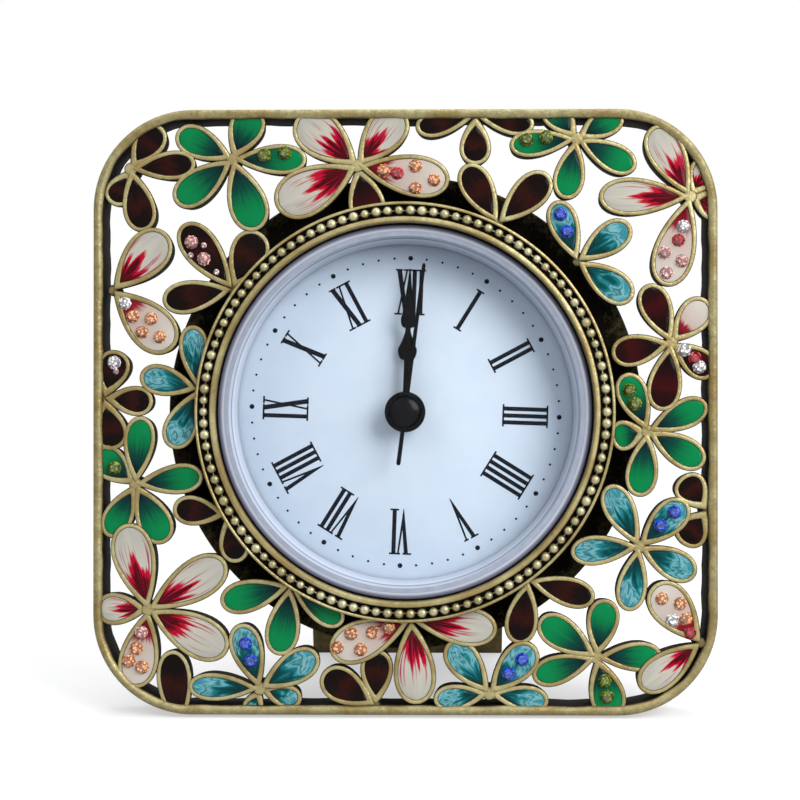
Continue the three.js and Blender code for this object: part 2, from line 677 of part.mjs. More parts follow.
// Beaded wire: one closed tube that swells at each bead.
function beadedWire() {
  const pitchRadius = (channelInner + channelOuter) / 2;
  const depth = channelFloor - FIT_GAP - BEAD_RADIUS;
  const rings = 2 * BEAD_COUNT;
  const points = [];
  const corners = [];
  for (let i = 0; i < rings; i += 1) {
    const round = (2 * Math.PI * i) / rings;
    const thickness = i % 2 === 0 ? BEAD_RADIUS : BEAD_NECK;
    for (let k = 0; k < BEAD_SIDES; k += 1) {
      const side = (2 * Math.PI * k) / BEAD_SIDES;
      const radius = pitchRadius + thickness * Math.cos(side);
      points.push(radius * Math.cos(round), depth + thickness * Math.sin(side), radius * Math.sin(round));
      const nextRing = ((i + 1) % rings) * BEAD_SIDES;
      const nextSide = (k + 1) % BEAD_SIDES;
      const here = i * BEAD_SIDES;
      corners.push(here + k, nextRing + k, here + nextSide);
      corners.push(nextRing + k, nextRing + nextSide, here + nextSide);
    }
  }
  const geometry = new THREE.BufferGeometry();
  geometry.setAttribute("position", new THREE.Float32BufferAttribute(points, 3));
  geometry.setIndex(corners);
  return solid(geometry);
}
add("beaded_wire", beadedWire(), bright);

// Lens: a flat window with a flange under the bezel's lip and a skirt down to the dial.
const lensEdge = VIEW_RADIUS - FIT_GAP;
const skirtFoot = dialFront - FIT_GAP;
add("lens", turned([
  [0, lensFront],
  [lensEdge - LENS_CHAMFER, lensFront],
  [lensEdge, lensFront + LENS_CHAMFER],
  [lensEdge, lensFlangeFront],
  [caseRadius, lensFlangeFront],
  [caseRadius, lensFlangeBack],
  [dialRadius, lensFlangeBack],
  [dialRadius, skirtFoot],
  [dialRadius - LENS_SKIRT_FOOT, skirtFoot],
  [dialRadius - LENS_SKIRT_TOP, lensInner],
  [0, lensInner],
]), clear);

const dialHole = disc(centre, hourPipeRadius + FIT_GAP, dialFront - CUT_OVER, dialBack + CUT_OVER);
const dialDisc = disc(centre, dialRadius, dialFront, dialBack, RING_STEPS);
const dial = add("dial", dialDisc.subtract(dialHole), dialWhite);
dial.rotation.y = radians(DIAL_TURN);

// Movement case: a tube with a shelf between the dial and the main plate, and a collar
// that three screws hold to the bezel's flange.
const shelfInner = caseInner - SHELF_WIDTH;
const movementCase = turnedRing([
  [caseRadius, caseFront],
  [caseRadius, collarFront],
  [collarRadius, collarFront],
  [collarRadius, collarBack],
  [caseRadius, collarBack],
  [caseRadius, caseBack],
  [caseInner, caseBack],
  [caseInner, plateFront - FIT_GAP],
  [shelfInner, plateFront - FIT_GAP],
  [shelfInner, dialBack + FIT_GAP],
  [caseInner, dialBack + FIT_GAP],
  [caseInner, caseFront],
]);
add("movement_case", movementCase.subtract(screwHoles), blackPlastic);
screwPlaces.forEach((place, i) => {
  const headFront = collarBack + FIT_GAP;
  const head = disc(place, SCREW_HEAD_RADIUS, headFront, headFront + SCREW_HEAD_HEIGHT);
  const shank = disc(place, SCREW_RADIUS, flangeFront, headFront + SCREW_HEAD_HEIGHT / 2);
  add(`case_screw_${i + 1}`, head.add(shank), steel);
});

// Main plate: pivots for the train, posts for the bridge and a well for the cell.
function pivotHole(place, radius = ARBOR_RADIUS) {
  return disc(place, radius + RUN_GAP, plateFront - CUT_OVER, bridgeBack + CUT_OVER);
}
const knobArborRadius = ARBOR_RADIUS + PIPE_WALL;
const wellBack = plateBack + WELL_HEIGHT;
const [boardX, boardZ] = onPlate(BOARD_SHARES);
const [halfBoardWidth, halfBoardHeight] = onPlate([BOARD_WIDTH_SHARE / 2, BOARD_HEIGHT_SHARE / 2]);
const wellSlotEnd = [boardX, boardZ + halfBoardHeight + FIT_GAP + CONTACT_ARM];
const wellSlot = barShape(cellCentre, wellSlotEnd, CONTACT_ARM + FIT_GAP);
const rooted = plateBack - PLATE_THICKNESS / 2;
const well = disc(cellCentre, wellOuter, rooted, wellBack, PIECE_STEPS)
  .subtract(disc(cellCentre, wellInner, plateBack, wellBack + CUT_OVER, PIECE_STEPS))
  .subtract(slab(wellSlot, plateBack, wellBack + CUT_OVER));
const pillars = posts.map((place) => disc(place, POST_RADIUS, rooted, bridgeFront - FIT_GAP));
const plateHoles = union([
  pivotHole(centre, cannonRadius),
  pivotHole(thirdArbor),
  pivotHole(fifthArbor),
  pivotHole(rotorArbor),
  pivotHole(motionArbor),
  pivotHole(knobArbor, knobArborRadius),
]);
const mainPlate = disc(centre, plateRadius, plateFront, plateBack, RING_STEPS);
add("main_plate", union([mainPlate, well, ...pillars]).subtract(plateHoles), bright);

const bridgeArms = [...posts, thirdArbor, rotorArbor].map((place) =>
  slab(barShape(centre, place, BRIDGE_ARM), bridgeFront, bridgeBack, BEND_STEPS));
const bridgeHoles = union([
  pivotHole(centre, SECOND_ARBOR_RADIUS),
  pivotHole(thirdArbor),
  pivotHole(fifthArbor),
  pivotHole(rotorArbor),
]);
add("train_bridge", union(bridgeArms).subtract(bridgeHoles), bright);

// Wheel train, from the rotor to the centre wheel
const pivotFront = plateBack - PIVOT_DEPTH;
const pivotBack = bridgeFront + PIVOT_DEPTH;
const secondThirdModule = moduleFor(trainDistance, SECOND_PINION, THIRD_WHEEL);
const thirdCentreModule = moduleFor(trainDistance, THIRD_PINION, CENTRE_WHEEL);
const fifthSecondModule = moduleFor(trainDistance, FIFTH_PINION, SECOND_WHEEL);
const hourModule = moduleFor(motionDistance, MOTION_PINION, HOUR_WHEEL);
const fifthPhase = meshPhase(rotorArbor, ROTOR_PINION, 0, fifthArbor, FIFTH_WHEEL);
const secondPhase = meshPhase(fifthArbor, FIFTH_PINION, 0, centre, SECOND_WHEEL);
const thirdPhase = meshPhase(centre, SECOND_PINION, 0, thirdArbor, THIRD_WHEEL);
const centrePhase = meshPhase(thirdArbor, THIRD_PINION, 0, centre, CENTRE_WHEEL);
const motionPhase = meshPhase(centre, CANNON_PINION, 0, motionArbor, MOTION_WHEEL);
const hourPhase = meshPhase(motionArbor, MOTION_PINION, 0, centre, HOUR_WHEEL);
const knobPhase = meshPhase(motionArbor, MOTION_WHEEL, motionPhase, knobArbor, KNOB_PINION);

add("rotor", union([
  arbor(rotorArbor, ARBOR_RADIUS, pivotFront, pivotBack),
  disc(rotorArbor, MAGNET_RADIUS, centreLevel, secondLevel + WHEEL_THICKNESS, SMALL_STEPS),
  gear(rotorArbor, ROTOR_PINION, rotorModule, 0, fifthLevel, PINION_TOOTH),
]), steel);
add("fifth_wheel", union([
  arbor(fifthArbor, ARBOR_RADIUS, pivotFront, pivotBack),
  gear(fifthArbor, FIFTH_PINION, fifthSecondModule, 0, secondLevel, PINION_TOOTH),
  gear(fifthArbor, FIFTH_WHEEL, rotorModule, fifthPhase, fifthLevel),
]), bright);
add("second_wheel", union([
  arbor(centre, SECOND_ARBOR_RADIUS, secondHandBack - HAND_THICKNESS, pivotBack),
  gear(centre, SECOND_PINION, secondThirdModule, 0, thirdLevel, PINION_TOOTH),
  gear(centre, SECOND_WHEEL, fifthSecondModule, secondPhase, secondLevel),
]), bright);
add("third_wheel", union([
  arbor(thirdArbor, ARBOR_RADIUS, pivotFront, pivotBack),
  gear(thirdArbor, THIRD_PINION, thirdCentreModule, 0, centreLevel, PINION_TOOTH),
  gear(thirdArbor, THIRD_WHEEL, secondThirdModule, thirdPhase, thirdLevel),
]), bright);
const centreBore = disc(centre, cannonRadius + RUN_GAP, centreLevel - CUT_OVER, thirdLevel);
add("centre_wheel",
  gear(centre, CENTRE_WHEEL, thirdCentreModule, centrePhase, centreLevel).subtract(centreBore), bright);

// Motion work behind the dial, which sets the hands
const cannonBack = centreLevel + WHEEL_THICKNESS;
const cannon = union([
  disc(centre, cannonRadius, minuteHandBack - HAND_THICKNESS, cannonBack),
  gear(centre, CANNON_PINION, motionModule, 0, motionLevel, PINION_TOOTH),
]).subtract(disc(centre, cannonBore, minuteHandBack - CUT_OVER, cannonBack + CUT_OVER));
add("cannon_pinion", cannon, bright);
const hourWheel = union([
  disc(centre, hourPipeRadius, hourHandBack - HAND_THICKNESS, hourLevel + WHEEL_THICKNESS),
  gear(centre, HOUR_WHEEL, hourModule, hourPhase, hourLevel),
]).subtract(disc(centre, hourPipeBore, hourHandBack - CUT_OVER, motionLevel));
add("hour_wheel", hourWheel, bright);
add("motion_wheel", union([
  arbor(motionArbor, ARBOR_RADIUS, hourLevel, plateFront + PIVOT_DEPTH),
  gear(motionArbor, MOTION_PINION, hourModule, 0, hourLevel, PINION_TOOTH),
  gear(motionArbor, MOTION_WHEEL, motionModule, motionPhase, motionLevel),
]), bright);

// Setting knob: a fluted button on the back whose arbor turns the motion work.
function flutedShape([x, z]) {
  const points = [];
  for (let i = 0; i < 2 * KNOB_FLUTES; i += 1) {
    const angle = (Math.PI * i) / KNOB_FLUTES;
    const radius = KNOB_RADIUS - (i % 2) * KNOB_FLUTE_DEPTH;
    points.push(new THREE.Vector2(x + radius * Math.cos(angle), z + radius * Math.sin(angle)));
  }
  return new THREE.Shape(points);
}
const knobFront = coverBack + FIT_GAP;
add("setting_knob", union([
  slab(flutedShape(knobArbor), knobFront, knobFront + KNOB_HEIGHT),
  arbor(knobArbor, knobArborRadius, motionLevel, knobFront + KNOB_HEIGHT / 2),
  gear(knobArbor, KNOB_PINION, motionModule, knobPhase, motionLevel, PINION_TOOTH),
]), blackPlastic);

// Hands
const hourHand = add("hour_hand", spadeHand(HOUR_HAND, hourHandBack, hourPipeRadius + RUN_GAP), black);
const minuteHand = add("minute_hand", spadeHand(MINUTE_HAND, minuteHandBack, cannonRadius + RUN_GAP), black);
hourHand.rotation.y = radians(DIAL_TURN);
minuteHand.rotation.y = radians(DIAL_TURN);
const secondFront = secondHandBack - HAND_THICKNESS;
const secondBlade = slab(rectangleShape(-SECOND_WIDTH / 2, SECOND_WIDTH / 2, -SECOND_TAIL, SECOND_LENGTH),
  secondFront, secondHandBack);
const cap = turned([
  [0, secondHandBack - CAP_HEIGHT],
  [CAP_RADIUS * CAP_FLAT_SHARE, secondHandBack - CAP_HEIGHT],
  [CAP_RADIUS, secondHandBack - CAP_HEIGHT * CAP_EDGE_SHARE],
  [CAP_RADIUS, secondHandBack],
  [0, secondHandBack],
], PIECE_STEPS);
const secondBoreRadius = SECOND_ARBOR_RADIUS + RUN_GAP;
const secondBore = disc(centre, secondBoreRadius, secondFront - RUN_GAP, secondHandBack + CUT_OVER);
const secondHand = add("second_hand", secondBlade.add(cap).subtract(secondBore), black);
secondHand.rotation.y = radians(SECOND_AIM);

// Stepping motor: a stator round the rotor's magnet, bridged by the coil's core.
const statorBore = MAGNET_RADIUS + STATOR_GAP;
const statorBack = thirdLevel + STATOR_THICKNESS;
const coilEnds = COIL_END_SHARES.map(onPlate);
const coreEnds = coilEnds.map(([x, z], i) => [x + (i === 0 ? -CORE_OVERHANG : CORE_OVERHANG) / 2, z]);
const statorArms = coreEnds.flatMap((end) => {
  const knee = [end[0], STATOR_KNEE_SHARE * plateRadius];
  return [barShape(rotorArbor, knee, STATOR_ARM), barShape(knee, end, STATOR_ARM)];
});
const stator = union([
  disc(rotorArbor, statorBore + STATOR_RING, thirdLevel, statorBack, PIECE_STEPS),
  ...statorArms.map((arm) => slab(arm, thirdLevel, statorBack, BEND_STEPS)),
]).subtract(disc(rotorArbor, statorBore, thirdLevel - CUT_OVER, statorBack + CUT_OVER, PIECE_STEPS));
add("stator", stator, steel);
const [[coilLeft, coilHeight], [coilRight]] = coilEnds;
const coilAxis = [statorBack + FIT_GAP + CORE_THICKNESS / 2, coilHeight];
const corePiece = across(
  rectangleShape(statorBack + FIT_GAP, statorBack + FIT_GAP + CORE_THICKNESS,
    coilHeight - CORE_WIDTH / 2, coilHeight + CORE_WIDTH / 2),
  coilLeft - CORE_OVERHANG, coilRight + CORE_OVERHANG);
const coilWinding = union([
  rod(coilAxis, COIL_RADIUS, coilLeft, coilRight, PIECE_STEPS),
  rod(coilAxis, COIL_RADIUS + COIL_FLANGE, coilLeft, coilLeft + COIL_FLANGE_WIDTH, PIECE_STEPS),
  rod(coilAxis, COIL_RADIUS + COIL_FLANGE, coilRight - COIL_FLANGE_WIDTH, coilRight, PIECE_STEPS),
]);
add("coil", corePiece.add(coilWinding), copper);

// Circuit board, cell and contacts
const boardFront = plateBack + FIT_GAP;
const boardBack = boardFront + BOARD_THICKNESS;
const board = slab(rectangleShape(boardX - halfBoardWidth, boardX + halfBoardWidth,
  boardZ - halfBoardHeight, boardZ + halfBoardHeight), boardFront, boardBack);
const chipRoot = boardBack - BOARD_THICKNESS / 2;
const chip = disc([boardX, boardZ], CHIP_RADIUS, chipRoot, boardBack + BOARD_THICKNESS);
add("circuit_board", board.add(chip), greenBoard);
const [cellX, cellZ] = cellCentre;
const cellBack = cellFront + CELL_HEIGHT;
add("button_cell", union([
  disc(cellCentre, CELL_RADIUS - CELL_CAP_INSET, cellFront, cellBack, PIECE_STEPS),
  disc(cellCentre, CELL_RADIUS, cellFront + CELL_CAP_HEIGHT, cellBack, PIECE_STEPS),
]), steel);
const contactFront = plateBack + FIT_GAP;
const contactBack = contactFront + CONTACT_THICKNESS;
add("contact_negative", union([
  disc(cellCentre, CELL_RADIUS - CELL_CAP_INSET, contactFront, contactBack, PIECE_STEPS),
  slab(barShape(cellCentre, wellSlotEnd, CONTACT_ARM), contactFront, contactBack, BEND_STEPS),
]), bright);
const springFront = wellBack + FIT_GAP;
const springBack = springFront + CONTACT_THICKNESS;
const springEnd = [cellX + wellOuter + CONTACT_ARM, cellZ];
const spring = slab(barShape(cellCentre, springEnd, CONTACT_ARM), springFront, springBack, BEND_STEPS)
  .subtract(disc(cellCentre, wellInner, springFront - CUT_OVER, springBack + CUT_OVER, PIECE_STEPS));
add("contact_positive", spring, bright);

// Back cover with its knob hole and battery opening, and the hatch that closes it
const coverSkirt = dialRadius - COVER_SKIRT_WALL;
const cover = turned([
  [0, coverFront],
  [coverSkirt, coverFront],
  [coverSkirt, coverFront - COVER_SKIRT],
  [dialRadius, coverFront - COVER_SKIRT],
  [dialRadius, coverFront],
  [caseRadius, coverFront],
  [caseRadius, coverBack - COVER_ROUND],
  [caseRadius - COVER_ROUND, coverBack],
  [0, coverBack],
]);
const coverHoles = union([
  disc(knobArbor, knobArborRadius + RUN_GAP, coverFront - CUT_OVER, coverBack + CUT_OVER),
  disc(cellCentre, HATCH_RADIUS + FIT_GAP, coverFront - CUT_OVER, coverBack + CUT_OVER, PIECE_STEPS),
]);
add("back_cover", cover.subtract(coverHoles), blackPlastic);
const hatch = disc(cellCentre, HATCH_RADIUS, coverFront, coverBack, PIECE_STEPS);
const coinSlotShape = rectangleShape(cellX - COIN_SLOT_LENGTH / 2, cellX + COIN_SLOT_LENGTH / 2,
  cellZ - COIN_SLOT_WIDTH / 2, cellZ + COIN_SLOT_WIDTH / 2);
const coinSlot = slab(coinSlotShape, coverBack - COIN_SLOT_DEPTH, coverBack + CUT_OVER);
add("battery_hatch", hatch.subtract(coinSlot), blackPlastic);

// Hinge bracket: a plate on the cover with two ears for the pin.
const hinge = [hingeDepth, HINGE_HEIGHT];
const earInner = KNUCKLE_WIDTH / 2 + FIT_GAP;
const earOuter = earInner + EAR_WIDTH;
function earShape() {
  const shape = new THREE.Shape();
  shape.moveTo(bracketFront, HINGE_HEIGHT - KNUCKLE_RADIUS);
  shape.absarc(hingeDepth, HINGE_HEIGHT, KNUCKLE_RADIUS, -Math.PI / 2, Math.PI / 2);
  shape.lineTo(bracketFront, HINGE_HEIGHT + KNUCKLE_RADIUS);
  return shape;
}
const bracketPlate = slab(rectangleShape(-earOuter, earOuter,
  HINGE_HEIGHT - BRACKET_HEIGHT / 2, HINGE_HEIGHT + BRACKET_HEIGHT / 2), bracketFront, bracketBack);
const pinHole = rod(hinge, PIN_RADIUS + RUN_GAP, -earOuter - CUT_OVER, earOuter + CUT_OVER);
const bracket = union([
  bracketPlate,
  across(earShape(), -earOuter, -earInner),
  across(earShape(), earInner, earOuter),
]).subtract(pinHole);
add("hinge_bracket", bracket, darkBrass);
add("hinge_pin", rod(hinge, PIN_RADIUS, -earOuter - PIN_OVERHANG, earOuter + PIN_OVERHANG), steel);

// Strut: a plate that flares from the knuckle to a thick foot, cut level with the surface.
// Its heel meets the bracket's plate when the strut is open.
const strutGroup = new THREE.Group();
strutGroup.position.set(0, hingeDepth, HINGE_HEIGHT);
strutGroup.rotation.x = lean + spread;
clock.add(strutGroup);
const strutFace = STRUT_THICKNESS / 2;
const openAngle = lean + spread;
const heel = (KNUCKLE_RADIUS - strutFace * Math.cos(openAngle)) / Math.sin(openAngle);
const footAt = (depth) => -(hingeRise + depth * Math.sin(spread)) / Math.cos(spread);

function strutSide() {
  const step = -strutFace - FOOT_BAR_STEP;
  const shape = new THREE.Shape();
  shape.moveTo(-strutFace, heel);
  shape.lineTo(-strutFace, footAt(-strutFace) + FOOT_BAR_HEIGHT);
  shape.lineTo(step, footAt(step) + FOOT_BAR_HEIGHT);
  shape.lineTo(step, footAt(step));
  shape.lineTo(strutFace, footAt(strutFace));
  shape.lineTo(strutFace, heel);
  return shape;
}

function strutFront() {
  const foot = 2 * footAt(0);
  const shape = new THREE.Shape();
  shape.moveTo(-STRUT_WIDTH / 2, foot);
  shape.lineTo(STRUT_WIDTH / 2, foot);
  shape.lineTo(STRUT_WIDTH / 2, -STRUT_FLARE);
  shape.lineTo(KNUCKLE_WIDTH / 2, -STRUT_NECK);
  shape.lineTo(KNUCKLE_WIDTH / 2, heel);
  shape.lineTo(-KNUCKLE_WIDTH / 2, heel);
  shape.lineTo(-KNUCKLE_WIDTH / 2, -STRUT_NECK);
  shape.lineTo(-STRUT_WIDTH / 2, -STRUT_FLARE);
  return shape;
}
const strutPlate = across(strutSide(), -STRUT_WIDTH / 2, STRUT_WIDTH / 2)
  .intersect(slab(strutFront(), -STRUT_WIDTH, STRUT_WIDTH));
const knuckle = rod([0, 0], KNUCKLE_RADIUS, -KNUCKLE_WIDTH / 2, KNUCKLE_WIDTH / 2, PIECE_STEPS);
const knuckleBore = rod([0, 0], PIN_RADIUS + RUN_GAP, -KNUCKLE_WIDTH, KNUCKLE_WIDTH);
add("strut", strutPlate.add(knuckle).subtract(knuckleBore), darkBrass, strutGroup);

const tableClock = new THREE.Group();
tableClock.add(clock);

export default tableClock;
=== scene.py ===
# %% [markdown]
# # Table clock
# A rounded square rim, cast in brass, is filled with five-petal blossoms in coloured enamel.
# They surround a beaded bezel with a clear lens, a white dial and black spade hands.
# A battery movement in a black case and a folding strut sit behind.
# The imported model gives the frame, and each finished piece stands over its own node.

# %% Load the frame
import json
import math
import random

import bmesh
import bpy
from mathutils import Matrix, Vector
from mathutils.geometry import tessellate_polygon


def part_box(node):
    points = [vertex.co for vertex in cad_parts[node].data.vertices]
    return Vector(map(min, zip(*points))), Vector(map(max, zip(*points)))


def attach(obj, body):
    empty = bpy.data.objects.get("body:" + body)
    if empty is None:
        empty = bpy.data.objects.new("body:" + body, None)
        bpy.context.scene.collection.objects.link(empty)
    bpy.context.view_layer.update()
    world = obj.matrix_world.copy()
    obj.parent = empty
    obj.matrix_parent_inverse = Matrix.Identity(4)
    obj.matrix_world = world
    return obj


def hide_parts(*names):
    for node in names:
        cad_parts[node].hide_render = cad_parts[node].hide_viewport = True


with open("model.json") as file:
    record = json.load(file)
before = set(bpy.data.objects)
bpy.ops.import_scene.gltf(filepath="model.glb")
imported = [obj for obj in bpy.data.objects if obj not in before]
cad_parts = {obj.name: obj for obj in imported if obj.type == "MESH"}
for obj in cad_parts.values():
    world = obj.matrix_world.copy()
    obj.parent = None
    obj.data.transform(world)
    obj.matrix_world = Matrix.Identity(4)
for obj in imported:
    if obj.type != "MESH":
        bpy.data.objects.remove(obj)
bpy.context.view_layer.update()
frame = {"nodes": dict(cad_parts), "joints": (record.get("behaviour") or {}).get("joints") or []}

print("loaded", len(frame["nodes"]), "nodes")

# %% [markdown]
# The clock leans back on its strut, so its pieces are easier to draw against the face.
# A point is (x, depth, height) in millimetres: x to the right, depth back from the front of
# the rim, height up the face, all from the middle of the dial.

# %% The face's own axes
joints = {joint["name"]: joint for joint in frame["joints"]}
RIGHT = Vector((1, 0, 0))
DEPTH = Vector(joints["second_spin"]["axis"]).normalized()
UP = RIGHT.cross(DEPTH)
spindle = Vector(joints["second_spin"]["pos_m"])
rim_points = [vertex.co - spindle for vertex in frame["nodes"]["outer_rim"].data.vertices]
face = spindle + DEPTH * min(point.dot(DEPTH) for point in rim_points)
CLOCK = Matrix((RIGHT, DEPTH, UP)).transposed().to_4x4() @ Matrix.Scale(0.001, 4)
CLOCK.translation = face
FLAT = CLOCK @ Matrix.Rotation(math.pi / 2, 4, "X")
print("face centre", [round(value, 4) for value in face])

# %% [markdown]
# Every finish is a small node tree. Colours are noted as they look on screen and turned into
# the linear light that the shaders use.

# %% Helpers for finishes
BUMP_DEPTH = 0.0002


def tone(red, green, blue):
    return tuple((value / 255) ** 2.2 for value in (red, green, blue))


def node(tree, kind, values=None, **settings):
    """Add a node; a value that is another node's output is linked, any other is set."""
    made = tree.nodes.new(kind)
    for key, value in settings.items():
        setattr(made, key, value)
    for socket, value in (values or {}).items():
        if isinstance(value, bpy.types.NodeSocket):
            tree.links.new(value, made.inputs[socket])
        else:
            made.inputs[socket].default_value = value
    return made


def out(tree, kind, values=None, **settings):
    return node(tree, kind, values, **settings).outputs[0]


def ramp(tree, factor, *stops):
    made = node(tree, "ShaderNodeValToRGB", {"Fac": factor})
    elements = made.color_ramp.elements
    for number, (place, colour) in enumerate(stops):
        element = elements[number] if number < 2 else elements.new(place)
        element.position = place
        element.color = (*colour, 1)
    return made.outputs["Color"]


def tinted(tree, factor, *stops):
    return ramp(tree, factor, *((place, tone(*colour)) for place, colour in stops))


def maths(tree, operation, *values):
    return out(tree, "ShaderNodeMath", dict(enumerate(values)), operation=operation)


def sum_of(tree, first, second, factor=1.0):
    return maths(tree, "MULTIPLY_ADD", second, factor, first)


def ranged(tree, value, low, high, start=0.0, end=1.0):
    return out(tree, "ShaderNodeMapRange", {
        "Value": value, "From Min": start, "From Max": end, "To Min": low, "To Max": high})


def blend(tree, factor, first, second, **settings):
    return node(tree, "ShaderNodeMix", {"Factor": factor, "A": first, "B": second},
                data_type="RGBA", **settings).outputs["Result"]


def carried(tree, name, output="Fac"):
    return node(tree, "ShaderNodeAttribute", attribute_name=name).outputs[output]


def object_place(tree):
    return node(tree, "ShaderNodeTexCoord").outputs["Object"]


def blank_material(name):
    material = bpy.data.materials.new(name)
    material.use_nodes = True
    material.node_tree.nodes.clear()
    return material, material.node_tree


def show(tree, shader):
    node(tree, "ShaderNodeOutputMaterial", {"Surface": shader})


def surface(tree, values):
    show(tree, out(tree, "ShaderNodeBsdfPrincipled", values))


def grain(tree, scale, detail=4.0, stretch=(1, 1, 1), vector=None):
    if vector is None:
        vector = object_place(tree)
    placed = out(tree, "ShaderNodeMapping", {"Vector": vector, "Scale": stretch})
    return out(tree, "ShaderNodeTexNoise", {"Vector": placed, "Scale": scale, "Detail": detail})


def bump(tree, height, strength):
    return out(tree, "ShaderNodeBump", {
        "Height": height, "Strength": strength, "Distance": BUMP_DEPTH})


print("finish helpers ready")

# %% [markdown]
# Plain finishes: mottled plastic, turned brass and steel, wound copper, the green board.
# A fine noise shifts the colour and the gloss, as handling and moulding do.

# %% Plain finishes
GLOSS_SPREAD = 0.08


def finish(name, dark, light, scale, rough, metal=0.0, dent=0.1, stretch=(1, 1, 1), shine=0.5):
    material, tree = blank_material(name)
    noise = grain(tree, scale, stretch=stretch)
    gloss = ranged(tree, noise, rough - GLOSS_SPREAD, rough + GLOSS_SPREAD)
    surface(tree, {
        "Base Color": tinted(tree, noise, (0.3, dark), (0.7, light)), "Metallic": metal,
        "Roughness": gloss, "Specular IOR Level": shine, "Normal": bump(tree, noise, dent)})
    return material


black_plastic = finish("black_plastic", (18, 19, 21), (33, 34, 37), 1500, 0.5)
black_gloss = finish("black_gloss", (6, 7, 9), (15, 17, 20), 500, 0.2, dent=0.03, shine=0.12)
dark_brass = finish("dark_brass", (62, 54, 33), (90, 79, 48), 900, 0.42, 0.75, 0.15)
turned_brass = finish("turned_brass", (150, 122, 60), (205, 178, 108), 900, 0.32, 1.0, 0.06,
                      (1, 4, 1))
steel = finish("steel", (128, 131, 135), (176, 179, 182), 900, 0.32, 1.0, 0.06, (3, 1, 1))
copper = finish("copper", (112, 48, 22), (190, 98, 52), 60, 0.35, 0.9, 0.3, (60, 1, 1))
board_green = finish("board_green", (16, 70, 42), (30, 104, 62), 700, 0.45)
print("plain finishes", len(bpy.data.materials))

# %% [markdown]
# Antique brass: the casting was darkened all over and then rubbed back, so the raised edges
# shine and the side walls and hollows stay nearly black. Each point carries a patina value,
# and where the dark layer lies the surface is rough and hardly mirrors.

# %% Antique brass
DARK_LAYER = (24, 20, 13)


def antique(name, light, dark):
    material, tree = blank_material(name)
    patina = carried(tree, "patina")
    fine = grain(tree, 900, 6.0)
    broad = grain(tree, 160, 3.0)
    specks = grain(tree, 2600, 3.0)
    cover = sum_of(tree, sum_of(tree, patina, fine, 0.42), broad, 0.25)
    cover = sum_of(tree, cover, specks, 0.36)
    worn = tinted(tree, broad, (0.35, dark), (0.65, light))
    amount = ranged(tree, cover, 0.0, 1.0, 0.5, 1.15)
    surface(tree, {
        "Base Color": blend(tree, amount, worn, (*tone(*DARK_LAYER), 1)),
        "Metallic": ranged(tree, amount, 0.72, 0.1), "Roughness": ranged(tree, amount, 0.38, 0.9),
        "Specular IOR Level": 0.15, "Normal": bump(tree, sum_of(tree, fine, specks, 0.6), 0.5)})
    return material


antique_brass = antique("antique_brass", (176, 166, 122), (140, 123, 80))
bead_brass = antique("bead_brass", (188, 181, 146), (146, 137, 101))
print("antique brass ready")

# %% [markdown]
# Enamel is ground glass fused in the petal's cell. Each point knows where it lies on its
# petal: across (-1 to 1), along from the hub (0 to 1) and a number of the petal's own, so the
# brushed heart, flames and marbling differ from petal to petal.

# %% Enamel
def enamel(name, paint, rough=0.13):
    material, tree = blank_material(name)
    place = carried(tree, "petal_place", "Vector")
    axes = node(tree, "ShaderNodeSeparateXYZ", {"Vector": place}).outputs
    surface(tree, {
        "Base Color": paint(tree, place, axes["X"], axes["Y"]), "Roughness": rough,
        "Specular IOR Level": 0.08, "Coat Weight": 0.02, "Coat Roughness": 0.05,
        "Normal": bump(tree, grain(tree, 500, 3.0), 0.12)})
    return material


def washed(*stops, streak=0.25, stretch=(3, 1.2, 6)):
    def paint(tree, place, across, along):
        noise = grain(tree, 1.6, 4.0, stretch, place)
        return tinted(tree, sum_of(tree, along, noise, streak), *stops)
    return paint


def flamed(tree, place, across, along):
    side = maths(tree, "ABSOLUTE", across)
    tongues = grain(tree, 2.2, 1.5, (1.5, 0.25, 9), place)
    hairs = grain(tree, 7.0, 2.0, (1.5, 0.12, 9), place)
    edge = sum_of(tree, sum_of(tree, along, side, 0.25), tongues, -0.8)
    heart = tinted(tree, edge, (0.0, (70, 5, 16)), (0.04, (160, 10, 38)), (0.12, (170, 16, 48)),
                   (0.16, (168, 130, 122)), (0.2, (177, 173, 161)), (0.7, (163, 160, 150)))
    line = ramp(tree, hairs, (0.36, (1, 1, 1)), (0.41, (0, 0, 0)))
    far = ramp(tree, along, (0.62, (0.9, 0.9, 0.9)), (0.86, (0, 0, 0)))
    strength = maths(tree, "MULTIPLY", line, far)
    return blend(tree, strength, heart, (*tone(150, 30, 60), 1))


def marbled(tree, place, across, along):
    wide = out(tree, "ShaderNodeMapping", {"Vector": place, "Scale": (1.1, 1.7, 7)})
    veins = out(tree, "ShaderNodeTexNoise", {
        "Vector": wide, "Scale": 1.1, "Detail": 2.5, "Distortion": 1.3})
    share = ranged(tree, sum_of(tree, along, veins, 1.3), 0.0, 1.0, 0.65, 1.75)
    return tinted(tree, share, (0.1, (0, 50, 52)), (0.32, (4, 74, 76)), (0.46, (34, 110, 116)),
                  (0.58, (104, 158, 164)), (0.66, (28, 96, 104)), (0.76, (112, 164, 170)),
                  (0.9, (54, 122, 132)))


